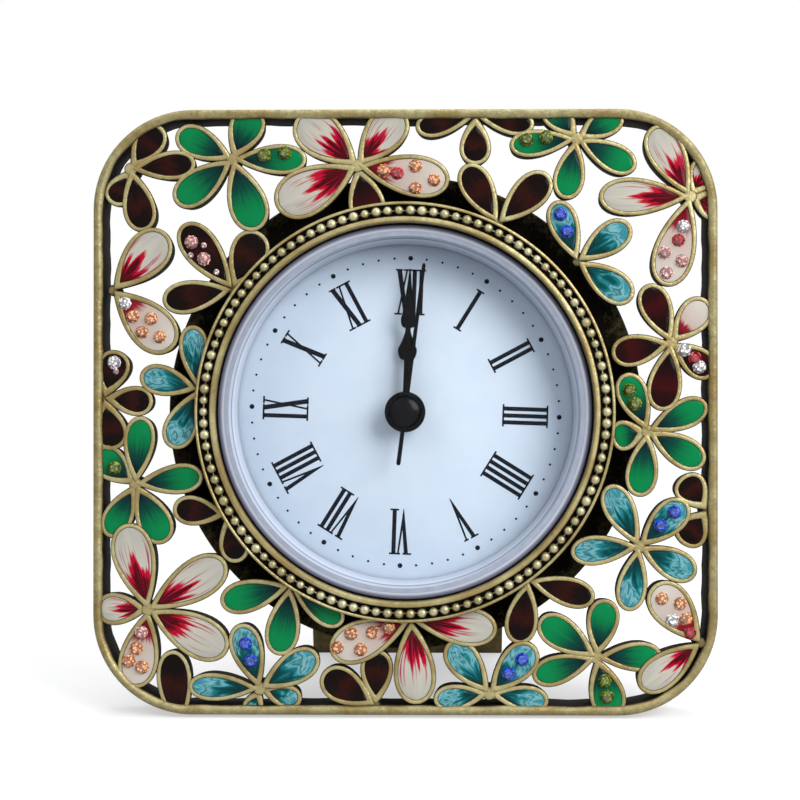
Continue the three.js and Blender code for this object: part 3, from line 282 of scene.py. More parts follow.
ENAMELS = {
    "green": enamel("enamel_green", washed(
        (0.3, (0, 34, 38)), (0.58, (0, 64, 52)), (0.8, (0, 102, 60)), (1.0, (2, 116, 66)),
        streak=0.45, stretch=(5, 0.8, 6))),
    "brown": enamel("enamel_brown", washed(
        (0.1, (10, 4, 5)), (0.5, (22, 7, 6)), (0.8, (44, 16, 10)), (1.0, (20, 8, 7)),
        streak=0.5, stretch=(1.5, 1.5, 6)), 0.18),
    "white": enamel("enamel_white", flamed, 0.22),
    "teal": enamel("enamel_teal", marbled),
    # The dark red is the enamel's own colour. The brighter band towards the tip of each red petal is
    # a painted glint.
    "red": enamel("enamel_red", washed(
        (0.1, (10, 3, 4)), (0.5, (28, 6, 8)), (0.85, (56, 9, 13)), (1.0, (34, 7, 9)),
        streak=0.4)),
    "pale": enamel("enamel_pale", washed(
        (0.2, (96, 12, 26)), (0.38, (128, 30, 42)), (0.48, (176, 158, 148)),
        (1.0, (186, 178, 168)))),
}
print("enamels", sorted(ENAMELS))

# %% [markdown]
# Shapes are skinned through loops of points, as a pattern maker builds up a section, or cut from
# sheet as outlines with holes. A shape is a list of points and a list of faces.

# %% Helpers for shapes
def skin(loops, ring=False, closed=True):
    size = len(loops[0])
    points = [point for loop in loops for point in loop]
    faces = []
    pairs = list(zip(range(len(loops)), range(1, len(loops))))
    if ring:
        pairs.append((len(loops) - 1, 0))
    for here, there in pairs:
        for k in range(size):
            after = (k + 1) % size
            faces.append((here * size + k, here * size + after,
                          there * size + after, there * size + k))
    if not ring:
        faces.append(tuple(range(size)))
    if closed and not ring:
        faces.append(tuple(range(len(points) - size, len(points))))
    return points, faces


def angles(steps):
    return [2 * math.pi * step / steps for step in range(steps)]


def polar(radius, turn, at=(0, 0)):
    return at[0] + radius * math.cos(turn), at[1] + radius * math.sin(turn)


def circle(radius, steps, at=(0, 0)):
    return [polar(radius, turn, at) for turn in angles(steps)]


def at_depth(outline, depth):
    return [(x, depth, v) for x, v in outline]


def turned(profile, steps):
    return skin([[(r * math.cos(turn), d, r * math.sin(turn)) for r, d in profile]
                 for turn in angles(steps)], ring=True)


def turned_rows(section, steps):
    """Turn a section whose rows end with a value; every point gets its row's value."""
    shape = turned([row[:2] for row in section], steps)
    return shape, [row[2] for row in section] * steps


def turned_by(turn, outline):
    cos, sin = math.cos(turn), math.sin(turn)
    return [(x * cos - v * sin, x * sin + v * cos) for x, v in outline]


def plate(outlines, front, back):
    points, faces, pairs = [], [], []
    for outline in outlines:
        start, size = len(points), len(outline)
        points += at_depth(outline, front) + at_depth(outline, back)
        pairs += [(start + k, start + size + k) for k in range(size)]
        for k in range(size):
            after = (k + 1) % size
            faces.append((start + k, start + after, start + size + after, start + size + k))
    flat = [[Vector((x, v, 0)) for x, v in outline] for outline in outlines]
    for corners in tessellate_polygon(flat):
        faces.append(tuple(pairs[k][0] for k in corners))
        faces.append(tuple(pairs[k][1] for k in corners))
    return points, faces


def add_shape(points, faces, more_points, more_faces):
    start = len(points)
    faces += [tuple(start + k for k in corners) for corners in more_faces]
    points += more_points


def joined(*shapes):
    points, faces = [], []
    for shape in shapes:
        add_shape(points, faces, *shape)
    return points, faces


print("shape helpers ready")

# %% [markdown]
# A finished piece is welded, given outward faces and put where the clock stands, with nothing
# below the table. It rides on its body and stands over its node. Its points carry values, such as
# the patina, for its finish to read.

# %% Helpers for pieces
WELD = 2e-6
THINNEST = 1e-6
SHARP_ANGLE = math.radians(38)


def new_object(name, data):
    made = bpy.data.objects.new(name, data)
    bpy.context.scene.collection.objects.link(made)
    return made


def carry(mesh, label, numbers):
    vectors = isinstance(numbers[0], tuple)
    layer = mesh.attributes.new(label, "FLOAT_VECTOR" if vectors else "FLOAT", "POINT")
    data = [part for number in numbers for part in number] if vectors else numbers
    layer.data.foreach_set("vector" if vectors else "value", data)


def piece(name, shape, materials, body="frame", nodes=(), kinds=None, values=None,
          flat=False):
    mesh = bpy.data.meshes.new(name)
    world = [CLOCK @ Vector(point) for point in shape[0]]
    mesh.from_pydata([(p.x, p.y, max(p.z, 0)) for p in world], [], shape[1])
    for material in materials:
        mesh.materials.append(material)
    if kinds:
        mesh.polygons.foreach_set("material_index", kinds)
    for label, numbers in (values or {}).items():
        carry(mesh, label, numbers)
    shaped = bmesh.new()
    shaped.from_mesh(mesh)
    bmesh.ops.remove_doubles(shaped, verts=shaped.verts, dist=WELD)
    bmesh.ops.dissolve_degenerate(shaped, edges=shaped.edges, dist=THINNEST)
    loose = [vertex for vertex in shaped.verts if not vertex.link_faces]
    bmesh.ops.delete(shaped, geom=loose, context="VERTS")
    bmesh.ops.recalc_face_normals(shaped, faces=shaped.faces)
    shaped.to_mesh(mesh)
    shaped.free()
    return settle(name, mesh, body, nodes, flat)


def settle(name, mesh, body, nodes, flat=False):
    mesh.polygons.foreach_set("use_smooth", [not flat] * len(mesh.polygons))
    if not flat:
        mesh.set_sharp_from_angle(angle=SHARP_ANGLE)
    made = new_object(name, mesh)
    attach(made, body)
    if nodes:
        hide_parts(*nodes)
    return made


print("piece helpers ready")

# %% [markdown]
# The blossoms' layout. A name starts with the enamel's colour. Then come the hub's place and each
# petal's aim in degrees from the right, its reach and its width, with a word where its enamel is
# different. The second list has the half blossoms that were cast with the rim.

# %% Layout of the openwork
LAYOUT = {
    "brown_top_left": ((-44, 39), [
        (5, 10.5, 4.8), (-78, 10.3, 5.4), (56, 8.5, 5.2), (-118, 6.5, 4.6)]),
    "green_top_left": ((-27.6, 40.5), [
        (154, 10.1, 5.3), (67, 9, 5.8), (0, 11.9, 5), (217, 11.6, 5.7), (-71.5, 12.1, 6.4)]),
    "white_top": ((-7.6, 39.4), [
        (140, 12.5, 7.4), (51, 11.5, 6.7), (-10, 15, 6.9, "pale"), (207, 14.6, 7.9),
        (-76, 10, 6, "red")]),
    "brown_ring_top_right": ((14.9, 30.1), [(119, 10.9, 5.4), (44, 11.4, 5.7)]),
    "green_top_right": ((27.5, 43.7), [
        (186, 10.8, 4.5), (128, 8, 5), (30, 8.5, 4.8), (-27, 10.6, 4.9), (-101, 9.9, 5.1)]),
    "white_top_right": ((45.6, 34.4), [
        (118, 12.8, 6.2), (180, 14.6, 6.2), (-106, 14.9, 6.8, "pale"), (-20, 6, 5), (60, 7, 5)]),
    "teal_top_right": ((27.6, 24.1), [(110, 10.3, 5), (35, 10.3, 5.3), (-35, 10.7, 5.4)]),
    "red_right": ((42.6, 11), [
        (113, 10.2, 5.3), (50, 9, 5.4, "pale"), (191, 9.8, 5.2), (-99, 11, 5.6), (-36, 8.5, 5)]),
    "green_right": ((38.8, -3.1), [
        (112, 10, 5.2), (190, 6, 5), (25, 10.5, 4.9), (-30, 10.5, 5.2), (-98, 10.6, 5.3)]),
    "teal_right": ((37.4, -21.5), [
        (117, 11, 5.2), (185, 11, 4.9), (-100, 10.5, 5), (-27, 10.2, 5.2), (43, 10.5, 5.5)]),
    "white_bottom_right": ((47.2, -36.8), [(129, 11.9, 6.8, "pale"), (217, 12.2, 5.8)]),
    "green_bottom_right": ((30.6, -39.2), [
        (146, 11, 5.5), (80, 9.5, 5.3), (1, 10.5, 4.9), (-74, 10, 5.8), (198, 10.7, 4.9)]),
    "brown_ring_bottom_right": ((19.7, -26.9), [(-16, 11.1, 4.9), (-99, 10.4, 5.4)]),
    "teal_bottom": ((13.5, -45), [
        (128, 10.5, 5.5), (47, 10.6, 5.8), (187, 9, 4.4), (-8, 9.6, 4.4)]),
    "white_bottom": ((1, -33.2), [(-7, 13.9, 6.4), (-86, 13.6, 6.8), (-157, 14, 6.8, "pale")]),
    "teal_bottom_left": ((-23.2, -44.3), [
        (108, 10.9, 5.4), (31, 10.9, 5.5), (178, 11.5, 4.6), (-17, 7, 4), (-112, 4.8, 3.4)]),
    "green_ring_bottom_left": ((-18.3, -27.8), [
        (-166, 11.6, 5.4), (-100, 11.4, 5.6), (-36, 10.4, 4.8)]),
    "white_bottom_left": ((-41.1, -31.7), [
        (105, 14.3, 7), (32, 14.7, 6.8), (-28, 14.4, 7), (-101, 12.8, 6.5, "pale"),
        (179, 8.5, 5.3)]),
    "brown_ring_left": ((-28.5, -16.5), [(173, 8.8, 4.9), (-77, 7.9, 4.9)]),
    "green_left": ((-43.2, -11.6), [
        (85, 11, 5.2), (7, 11, 5), (-63, 10.6, 5.7), (242, 9.6, 5), (141, 8.5, 5.4)]),
    "teal_ring_left": ((-33.1, 3.6), [(96, 10.4, 4.9), (166, 9.7, 5), (-115, 10.4, 5.5)]),
    "white_left": ((-46.8, 19.5), [(47, 12.6, 7.1), (-44, 13.5, 7.4, "pale")]),
    "brown_ring_top_left": ((-27.6, 19.7), [(128, 13.2, 6), (66, 10.2, 6.3), (-170, 11.5, 5.4)]),
}
RIM_COLOUR = "brown"
RIM_LAYOUT = [
    ((11.3, 47.5), [(192, 9.8, 4.4), (-90, 8, 5.1), (-10, 9.6, 4.4)]),
    ((48.3, -15.7), [(127, 6.8, 5.4), (234, 6.8, 5.4)]),
    ((-4.7, -47), [(149, 10, 5.8), (88, 9, 5.3)]),
    ((-36.2, -51.5), [(95, 13.4, 5.7)]),
    ((-48.3, 2.2), [(73, 8, 5.4), (-5, 8, 4.9), (-79, 8.5, 5.6)]),
]
print("petals", sum(len(petals) for hub, petals in [*LAYOUT.values(), *RIM_LAYOUT]))

# %% [markdown]
# A petal is a teardrop with a rounded wall round a sunk cell of enamel. It would be cast with
# its blossom. The wall is skinned from the back, over a narrow crest and down to the cell, and
# the enamel crowns slightly to the middle. Petals stop inside the rim and against the bezel.

# %% Petals
FRAME_HALF = (50, 48.5)
CORNER = 16
STRAIGHT_HALF = [half - CORNER for half in FRAME_HALF]
RIM_HIDE = 1.1
BEZEL_HIDE = 33.2
WALL = 0.75
CELL_START = 1.8
PETAL_BACK = 5.9
# Share of the way from the outline to the cell, depth, patina.
WALL_SECTION = [
    (0.5, PETAL_BACK, 0.5), (0.1, 2.2, 1.0), (0, 1.1, 1.1), (0, 0.6, 0.9), (0.15, 0.38, 0.2),
    (0.4, 0.3, 0.0), (0.7, 0.31, 0.0), (0.88, 0.35, 0.2), (1, 0.48, 1.0)]
# Share of the cell's half width, depth.
ENAMEL_SECTION = [(1, 0.46), (0.66, 0.39), (0.33, 0.36), (0, 0.35)]
CELL_PATINA = 0.6
PETAL_STEPS = 44
# The power draws the hub's end in, and the peak brings the widest place back to the full width.
TEAR_POWER, TEAR_PEAK = 0.9, 0.786
chance = random.Random(7)


def fitted(x, v):
    reach = math.hypot(x, v)
    if reach < BEZEL_HIDE:
        x, v = x * BEZEL_HIDE / reach, v * BEZEL_HIDE / reach
    radius = CORNER - RIM_HIDE
    over = [max(abs(value) - limit, 0) for value, limit in zip((x, v), STRAIGHT_HALF)]
    beyond = math.hypot(*over)
    if beyond > radius:
        x, v = (math.copysign(min(abs(value), limit) + part * radius / beyond, value)
                for value, limit, part in zip((x, v), STRAIGHT_HALF, over))
    return x, v


def teardrop(start, reach, width, t):
    along = start + reach * (1 - math.cos(t)) / 2
    side = width / 2 * math.sin(t) * abs(math.sin(t / 2)) ** TEAR_POWER / TEAR_PEAK
    return along, side


def petal(hub, aim, reach, width, lift):
    turn = math.radians(aim)
    own = chance.random() * 10
    loops, patina, places = [], [], []

    def put(outline, depth):
        aimed = turned_by(turn, outline)
        loops.append(at_depth([fitted(hub[0] + x, hub[1] + v) for x, v in aimed], depth))

    turns = angles(PETAL_STEPS)
    outer = [teardrop(0, reach, width, t) for t in turns]
    inner = [teardrop(CELL_START, reach - CELL_START - WALL, width - 2 * WALL, t) for t in turns]
    for share, depth, dark in WALL_SECTION:
        down = depth if depth == PETAL_BACK else depth + lift
        put([(a + (c - a) * share, s + (e - s) * share)
             for (a, s), (c, e) in zip(outer, inner)], down)
        patina += [dark] * PETAL_STEPS
        places += [(0, 0, 0)] * PETAL_STEPS
    for share, depth in ENAMEL_SECTION:
        put([(a, s * share) for a, s in inner], depth + lift)
        patina += [CELL_PATINA] * PETAL_STEPS
        places += [(math.copysign(share, math.sin(t)), (1 - math.cos(t)) / 2, own) for t in turns]
    points, faces = skin(loops, closed=False)
    painted = len(WALL_SECTION) * PETAL_STEPS
    kinds = [1 if min(corners) >= painted else 0 for corners in faces]
    return points, faces, kinds, patina, places


print("petal steps", PETAL_STEPS)

# %% [markdown]
# A blossom gathers its petals round a low boss on the hub. The colours lie at slightly different
# depths, and shorter petals lower, so that one covers the next where they cross, as on the
# casting. Each blossom is a piece of its own.

# %% Blossoms
LEVELS = {"white": 0.0, "red": 0.1, "teal": 0.15, "green": 0.25, "brown": 0.35}
SHORT_DROP = 0.05
NEXT_DROP = 0.015
# Radius, depth of the top, patina: the smaller boss is for blossoms of up to three petals.
BROAD_BOSS, SMALL_BOSS = (1.1, 0.33, 0.0), (0.9, 0.5, 0.35)
BOSS_STEPS = 20


def blossom(hub, petals, colour, lift):
    materials, points, faces, kinds, patina, places = [antique_brass], [], [], [], [], []
    longest = max(entry[1] for entry in petals)
    for aim, reach, width, *other in petals:
        paint = ENAMELS[other[0] if other else colour]
        if paint not in materials:
            materials.append(paint)
        drop = lift + SHORT_DROP * (longest - reach)
        more_points, more_faces, more_kinds, more_patina, more_places = petal(
            hub, aim, reach, width, drop)
        add_shape(points, faces, more_points, more_faces)
        kinds += [materials.index(paint) if kind else 0 for kind in more_kinds]
        patina += more_patina
        places += more_places
        lift += NEXT_DROP
    broad, crest, dark = BROAD_BOSS if len(petals) > 3 else SMALL_BOSS
    boss = [(broad, PETAL_BACK, 0.5), (broad, crest + 0.3, 0.8),
            (broad - 0.15, crest + 0.05, dark + 0.2), (broad / 2, crest, dark), (0.2, crest, dark)]
    centre = fitted(*hub)
    loops = []
    for radius, depth, dark in boss:
        ring = [fitted(x, v) for x, v in circle(radius, BOSS_STEPS, centre)]
        loops.append(at_depth(ring, depth + lift))
        patina += [dark] * BOSS_STEPS
    more_points, more_faces = skin(loops)
    add_shape(points, faces, more_points, more_faces)
    kinds += [0] * len(more_faces)
    places += [(0, 0, 0)] * len(more_points)
    return (points, faces), materials, kinds, {"patina": patina, "petal_place": places}


for name, (hub, petals) in LAYOUT.items():
    colour = name.split("_")[0]
    shape, materials, kinds, values = blossom(hub, petals, colour, LEVELS[colour])
    piece(f"enamelled_{name}", shape, materials, nodes=[f"blossom_{name}"],
          kinds=kinds, values=values)
print("blossoms", len(LAYOUT))

# %% [markdown]
# The rim is a cast band, rounded over at the front and a little uneven along its inner edge
# where it was filed by hand. The half blossoms that grow from it are part of the casting.

# %% Outer rim
# Inset, depth, patina.
RIM_SECTION = [
    (0, 6.9, 0.25), (0, 0.9, 0.22), (0.1, 0.45, 0.22), (0.35, 0.12, 0.2), (0.7, 0.0, 0.2),
    (1.1, 0.08, 0.15), (1.4, 0.35, 0.05), (1.6, 0.9, 0.8), (1.75, 6.9, 1.0), (1.5, 7.4, 0.5),
    (0.9, 7.5, 0.4), (0.3, 7.4, 0.3)]
EDGE_STEPS = 24
EDGE_LENGTH = 1.5
RIM_BREADTH = 1.6
FILED = 0.06


def rim_outline():
    corners = []
    for quarter, (sx, sv) in enumerate([(1, 1), (-1, 1), (-1, -1), (1, -1)]):
        for k in range(EDGE_STEPS + 1):
            turn = math.pi / 2 * (quarter + k / EDGE_STEPS)
            centre = (sx * STRAIGHT_HALF[0], sv * STRAIGHT_HALF[1])
            corners.append(polar(CORNER, turn, centre))
    spread = []
    for k, here in enumerate(corners):
        after = corners[(k + 1) % len(corners)]
        cuts = max(1, round(math.dist(here, after) / EDGE_LENGTH))
        spread += [(here[0] + (after[0] - here[0]) * c / cuts,
                    here[1] + (after[1] - here[1]) * c / cuts) for c in range(cuts)]
    return spread


def uneven(x, v, inset):
    wave = math.sin(0.9 * x + 0.4 * v) + math.sin(0.37 * x - 1.3 * v + 1)
    return inset + FILED * wave * (inset / RIM_BREADTH)


loops, patina = [], []
base = rim_outline()
inward = [[value - max(min(value, limit), -limit) for value, limit in zip(spot, STRAIGHT_HALF)]
          for spot in base]
for inset, depth, dark in RIM_SECTION:
    loop = []
    for (x, v), (a, b) in zip(base, inward):
        drawn = uneven(x, v, inset) / math.hypot(a, b)
        loop.append((x - a * drawn, depth, v - b * drawn))
    loops.append(loop)
    patina += [dark] * len(loop)
points, faces = skin(loops, ring=True)
kinds = [0] * len(faces)
places = [(0, 0, 0)] * len(points)
for hub, petals in RIM_LAYOUT:
    shape, materials, more_kinds, values = blossom(hub, petals, RIM_COLOUR, LEVELS[RIM_COLOUR])
    add_shape(points, faces, *shape)
    kinds += more_kinds
    patina += values["patina"]
    places += values["petal_place"]
piece("cast_rim", (points, faces), materials, nodes=["outer_rim"],
      kinds=kinds, values={"patina": patina, "petal_place": places})
print("rim loops", len(loops), "of", len(base))

# %% [markdown]
# The bezel is turned: a lip over the lens, a dark channel for the beads, a thin outer edge and
# a flange behind the blossoms. The lip and edge are rubbed bright and the channel stays dark.

# %% Bezel
# Radius, depth, patina.
BEZEL_SECTION = [
    (30.2, 1.6, 0.8), (30.2, -0.7, 0.4), (30.28, -1.15, 0.1), (30.5, -1.38, 0), (30.9, -1.4, 0),
    (31.1, -1.3, 0.15), (31.25, -1.0, 1.0), (31.25, -0.1, 1.5), (33.05, -0.1, 1.5),
    (33.05, -0.8, 1.0), (33.12, -1.03, 0.1), (33.3, -1.1, 0), (33.5, -1.0, 0.1), (33.6, -0.7, 0.45),
    (33.6, 6.2, 0.8), (38.3, 6.2, 0.5), (38.5, 6.4, 0.5), (38.5, 7.5, 0.45), (32.4, 7.5, 0.45),
    (32.4, 1.6, 0.9)]
BEZEL_STEPS = 180
bezel, patina = turned_rows(BEZEL_SECTION, BEZEL_STEPS)
piece("turned_bezel", bezel, [antique_brass], nodes=["bezel_ring"],
      values={"patina": patina})
print("bezel steps", BEZEL_STEPS)

# %% [markdown]
# Beads, stones and minute dots repeat one small form many times. Node trees set the copies, and
# the result is kept as a plain mesh, so that each piece is whole when the model is exported.

# %% Helpers for grown pieces
def geo(tree, kind, values=None, **settings):
    return out(tree, "GeometryNode" + kind, values, **settings)


def any_between(tree, low, high, seed):
    return node(tree, "FunctionNodeRandomValue", {2: low, 3: high, "Seed": seed},
                data_type="FLOAT").outputs[1]


def new_tree(name, **inputs):
    tree = bpy.data.node_groups.new(name, "GeometryNodeTree")
    tree.interface.new_socket("Geometry", in_out="OUTPUT", socket_type="NodeSocketGeometry")
    for label, kind in inputs.items():
        tree.interface.new_socket(label, in_out="INPUT", socket_type="NodeSocket" + kind)
    return tree, tree.nodes.new("NodeGroupInput").outputs


def end_tree(tree, geometry, material):
    whole = geo(tree, "RealizeInstances", {"Geometry": geometry})
    painted = geo(tree, "SetMaterial", {"Geometry": whole, "Material": material})
    node(tree, "NodeGroupOutput", {"Geometry": painted})


def grown(name, tree, inputs, source=None, nodes=(), flat=False):
    maker = new_object(name + "_maker", source or bpy.data.meshes.new(name + "_maker"))
    modifier = maker.modifiers.new("grow", "NODES")
    modifier.node_group = tree
    for socket in tree.interface.items_tree:
        if socket.in_out == "INPUT" and socket.name in inputs:
            modifier[socket.identifier] = inputs[socket.name]
    depsgraph = bpy.context.evaluated_depsgraph_get()
    mesh = bpy.data.meshes.new_from_object(
        maker.evaluated_get(depsgraph), preserve_all_data_layers=True, depsgraph=depsgraph)
    bpy.data.objects.remove(maker)
    mesh.name = name
    mesh.transform(FLAT)
    return settle(name, mesh, "frame", nodes, flat)


print("growing helpers ready")

# %% [markdown]
# Beaded wire, drawn and rolled into beads on a thin core, lies in the channel. One bead is
# repeated round a ring, with a slight change of size from bead to bead.

# %% Beaded wire
CORE_SINK = -0.45
bead_tree, given = new_tree("beads on a ring", Count="Int", Ring="Float", Bead="Float",
                            Core="Float", Rise="Float", Material="Material")
spots = geo(bead_tree, "MeshCircle", {"Vertices": given["Count"], "Radius": given["Ring"]})
bead = geo(bead_tree, "MeshIcoSphere", {"Radius": given["Bead"], "Subdivisions": 3})
sizes = any_between(bead_tree, 0.86, 1.08, 4)
beads = geo(bead_tree, "InstanceOnPoints", {"Points": spots, "Instance": bead, "Scale": sizes})
path = geo(bead_tree, "CurvePrimitiveCircle", {
    "Resolution": given["Count"], "Radius": given["Ring"]})
section = geo(bead_tree, "CurvePrimitiveCircle", {"Resolution": 8, "Radius": given["Core"]})
core = geo(bead_tree, "CurveToMesh", {"Curve": path, "Profile Curve": section})
sunk = geo(bead_tree, "Transform", {"Geometry": core, "Translation": (0, 0, CORE_SINK)})
together = node(bead_tree, "GeometryNodeJoinGeometry", {"Geometry": beads})
bead_tree.links.new(sunk, together.inputs[0])
rise = out(bead_tree, "ShaderNodeCombineXYZ", {"Z": given["Rise"]})
raised = geo(bead_tree, "Transform", {"Geometry": together.outputs[0], "Translation": rise})
end_tree(bead_tree, raised, given["Material"])
wire = grown("rolled_beads", bead_tree, {
    "Count": 110, "Ring": 32.15, "Bead": 0.77, "Core": 0.12, "Rise": 0.64, "Material": bead_brass},
    nodes=["beaded_wire"])
print("bead faces", len(wire.data.polygons))

# %% [markdown]
# Glass stones are glued into some petals: olive, peach, red, clear, blue and pink. Each is a
# small faceted crown. One is set on every marked point, which carries its girth and its colour.

# %% Stones
OLIVE, PEACH, RED = (98, 116, 28), (222, 148, 104), (176, 30, 48)
CLEAR, BLUE, PINK = (226, 222, 224), (32, 78, 204), (222, 164, 160)
STONES = {
    OLIVE: [(-22.5, 41.1), (-19.2, 41.5), (19.5, 43.5), (22.6, 43.9), (35.9, 3.5), (36.8, 1.3),
            (31.9, -42.9), (32.3, -45.4), (-46.5, -9.0)],
    PEACH: [(-3.4, 38.6), (1.7, 39.3), (1.7, 35.8), (4.7, 37.1), (41.0, -29.8), (43.9, -30.6),
            (44.8, -33.0), (-10.8, -37.7), (-7.1, -38), (-8.6, -35.5), (-5.2, -35.3), (-2.6, -34.4),
            (-43.0, -37.9), (-44.2, -39.9), (-42.1, -40.9), (-43.6, 15.3), (-40.7, 14.9),
            (-42.1, 12.8), (-39.3, 12.0)],
    RED: [(-1.2, 38.2), (43.7, 27.4), (45.5, -35.2), (46.3, 8.6)],
    CLEAR: [(44.5, 29.6), (44.6, 9.9), (47, 7.2), (42.7, -33.2), (-46.6, 7.9), (-44.9, 17.4)],
    BLUE: [(24.9, 31.6), (25.9, 28.8), (43, -16), (40.8, -18.1), (18.7, -39.5), (16.6, -41.8),
           (-25.5, -37.1), (-24.6, -39.8)],
    PINK: [(41.5, 25.4), (44.2, 24.1), (41.8, 22.2), (-34.2, 27.2), (-32.2, 24.5), (-42.2, -35.3)],
}
SMALL_STONES = [(-32.2, 26.7), (-34.3, 25.1), (-30.2, 22.4), (-46.3, 6.5)]
SMALL_TINT = (226, 190, 190)
GIRTH, SMALL_GIRTH = 1.15, 0.5
STONE_LEVEL = -0.42

cut_glass, tree = blank_material("cut_glass")
# Painted sparkle: bright spots and dark patches laid into the stones' colour stand in for light
# caught by the facets.
cells = node(tree, "ShaderNodeTexVoronoi", {"Vector": object_place(tree), "Scale": 2200.0})
painted_sparkle = ramp(tree, cells.outputs["Distance"], (0.14, (1.8, 1.8, 1.8)), (0.55, (0.3, 0.3, 0.3)))
tint_with_painted_sparkle = blend(tree, 1.0, carried(tree, "tint", "Color"), painted_sparkle, blend_type="MULTIPLY")
surface(tree, {"Base Color": tint_with_painted_sparkle, "Roughness": 0.06, "IOR": 1.7, "Coat Weight": 0.6})

marks = [(x, v, GIRTH, tone(*colour)) for colour, spots in STONES.items() for x, v in spots]
marks += [(x, v, SMALL_GIRTH, tone(*SMALL_TINT)) for x, v in SMALL_STONES]
marked = bpy.data.meshes.new("stone_marks")
marked.from_pydata([(x, v, STONE_LEVEL) for x, v, girth, colour in marks], [], [])
carry(marked, "girth", [girth for x, v, girth, colour in marks])
carry(marked, "tint", [colour for x, v, girth, colour in marks])
stone_tree, given = new_tree("stones on marks", Marks="Geometry", Material="Material")
crown = geo(stone_tree, "MeshCone", {
    "Vertices": 9, "Radius Top": 0.55, "Radius Bottom": 0.98, "Depth": 0.5})
girth = geo(stone_tree, "InputNamedAttribute", {"Name": "girth"}, data_type="FLOAT")
turn = out(stone_tree, "ShaderNodeCombineXYZ", {"Z": any_between(stone_tree, 0.0, 6.0, 2)})
dots = geo(stone_tree, "MeshToPoints", {"Mesh": given["Marks"]})
set_stones = geo(stone_tree, "InstanceOnPoints", {
    "Points": dots, "Instance": crown, "Rotation": turn, "Scale": girth})
end_tree(stone_tree, set_stones, given["Material"])
grown("glass_stones", stone_tree, {"Material": cut_glass}, source=marked, flat=True)
print("stones", len(marks))

# %% [markdown]
# The lens is moulded clear plastic: a flat window with a flange under the lip and a ridged skirt
# down to the dial. The skirt is opaque, and its grey-blue bands are painted: the bright streaks are
# painted reflections of the clear plastic, and the dark bands are painted shade, darkest under the
# bezel's lip. The window only shows its gloss.

# %% Lens
# Painted light and shade for the skirt: bright bands stand in for reflections in clear plastic, and
# dark bands for shade, darkest under the bezel's lip.
PAINTED_LENS_LIGHT_BANDS = [
    (0.0, (150, 156, 170)), (0.099, (166, 173, 188)), (0.105, (138, 146, 162)),
    (0.116, (186, 192, 207)), (0.131, (162, 168, 184)), (0.141, (130, 133, 151)),
    (0.19, (104, 104, 122)), (0.3, (82, 82, 98)), (0.43, (188, 196, 210)),
    (0.46, (114, 120, 136)), (0.49, (202, 210, 224)), (0.64, (180, 188, 204)),
    (0.67, (124, 132, 148)), (0.7, (202, 210, 224)), (0.94, (174, 184, 200)),
    (1.0, (138, 146, 164))]
# Radius, depth, place in the bands.
LENS_SECTION = [
    (0.02, 0.2, 0), (28.2, 0.2, 0.1), (28.9, 0.2, 0.1), (29.5, 0.25, 0.14), (29.9, 0.45, 0.2),
    (30.1, 0.9, 0.3), (30.1, 1.9, 0.3), (32.1, 1.9, 0.3), (32.1, 3.0, 0.3), (30.0, 3.0, 0.3),
    (30.0, 7.7, 1), (27.4, 7.7, 1), (27.5, 7.0, 0.92), (27.65, 6.8, 0.88), (27.8, 5.0, 0.78),
    (27.95, 4.8, 0.72), (28.1, 3.4, 0.66), (28.25, 3.2, 0.6), (28.4, 1.7, 0.47), (0.02, 1.7, 0)]
LENS_STEPS = 160

window, tree = blank_material("lens_window")
gloss = out(tree, "ShaderNodeBsdfGlossy", {"Roughness": 0.03})
haze = ranged(tree, grain(tree, 90, 3.0), 0.0, 0.002)
amount = sum_of(tree, haze, out(tree, "ShaderNodeFresnel", {"IOR": 1.09}))
clear = out(tree, "ShaderNodeBsdfTransparent")
show(tree, out(tree, "ShaderNodeMixShader", {0: amount, 1: clear, 2: gloss}))

# The skirt's colour is the painted light and shade of the bands above.
skirt, tree = blank_material("lens_skirt")
place = sum_of(tree, carried(tree, "band"), grain(tree, 700), 0.008)
surface(tree, {
    "Base Color": tinted(tree, place, *PAINTED_LENS_LIGHT_BANDS), "Roughness": 0.25,
    "Normal": bump(tree, grain(tree, 900), 0.05)})

(points, faces), bands = turned_rows(LENS_SECTION, LENS_STEPS)
rows = len(LENS_SECTION)
window_rows = {0, 1, rows - 2, rows - 1}
kinds = [0 if {k % rows for k in corners} <= window_rows else 1 for corners in faces]
piece("moulded_lens", (points, faces), [window, skirt], nodes=["lens"],
      kinds=kinds, values={"band": bands})
print("lens rings", rows)

# %% [markdown]
# The dial is a printed metal disc in a cool white. Its Roman numerals stand on the circle with
# their feet to the centre, in thick and thin strokes with fine serifs.

# %% Dial and numerals
dial_white = finish("dial_white", (195, 211, 227), (201, 216, 231), 240, 0.6, dent=0.02)
dial_ink = finish("dial_ink", (8, 12, 22), (16, 22, 34), 800, 0.6, shine=0.15)
DIAL_TURN = math.radians(-2)
NUMERAL_FOOT = 15.9
NUMERAL_HEIGHT = 7.5
SERIF = 0.29
PEN = {"I": 1.12, "V": 2.33, "X": 2.65}
STEM, THICK, THIN = 0.68, 0.78, 0.3
X_SPREAD, V_SHIFT = 0.66, 0.25
V_OUTLINE = [(-0.05, 0), (0.05, 0), (0.9, 1), (0.61, 1), (0.12, 0.46), (-0.28, 1), (-0.95, 1)]
I_REACH, X_REACH = 0.72, 0.6
V_SERIFS = [(-0.74, 0.7), (0.77, 0.4)]
NUMERALS = ["XII", "I", "II", "III", "IIII", "V", "VI", "VII", "VIII", "IX", "X", "XI"]
# Strokes that cross lie at slightly different depths, so no two faces share a place.
PRINT_FRONT, PRINT_STEP, PRINT_LAYERS, PRINT_BACK = 7.985, 0.0015, 7, 8.02
DIAL_SECTION = [(2.0, 8.0), (29.85, 8.0), (30, 8.1), (30, 8.6), (2.0, 8.6)]


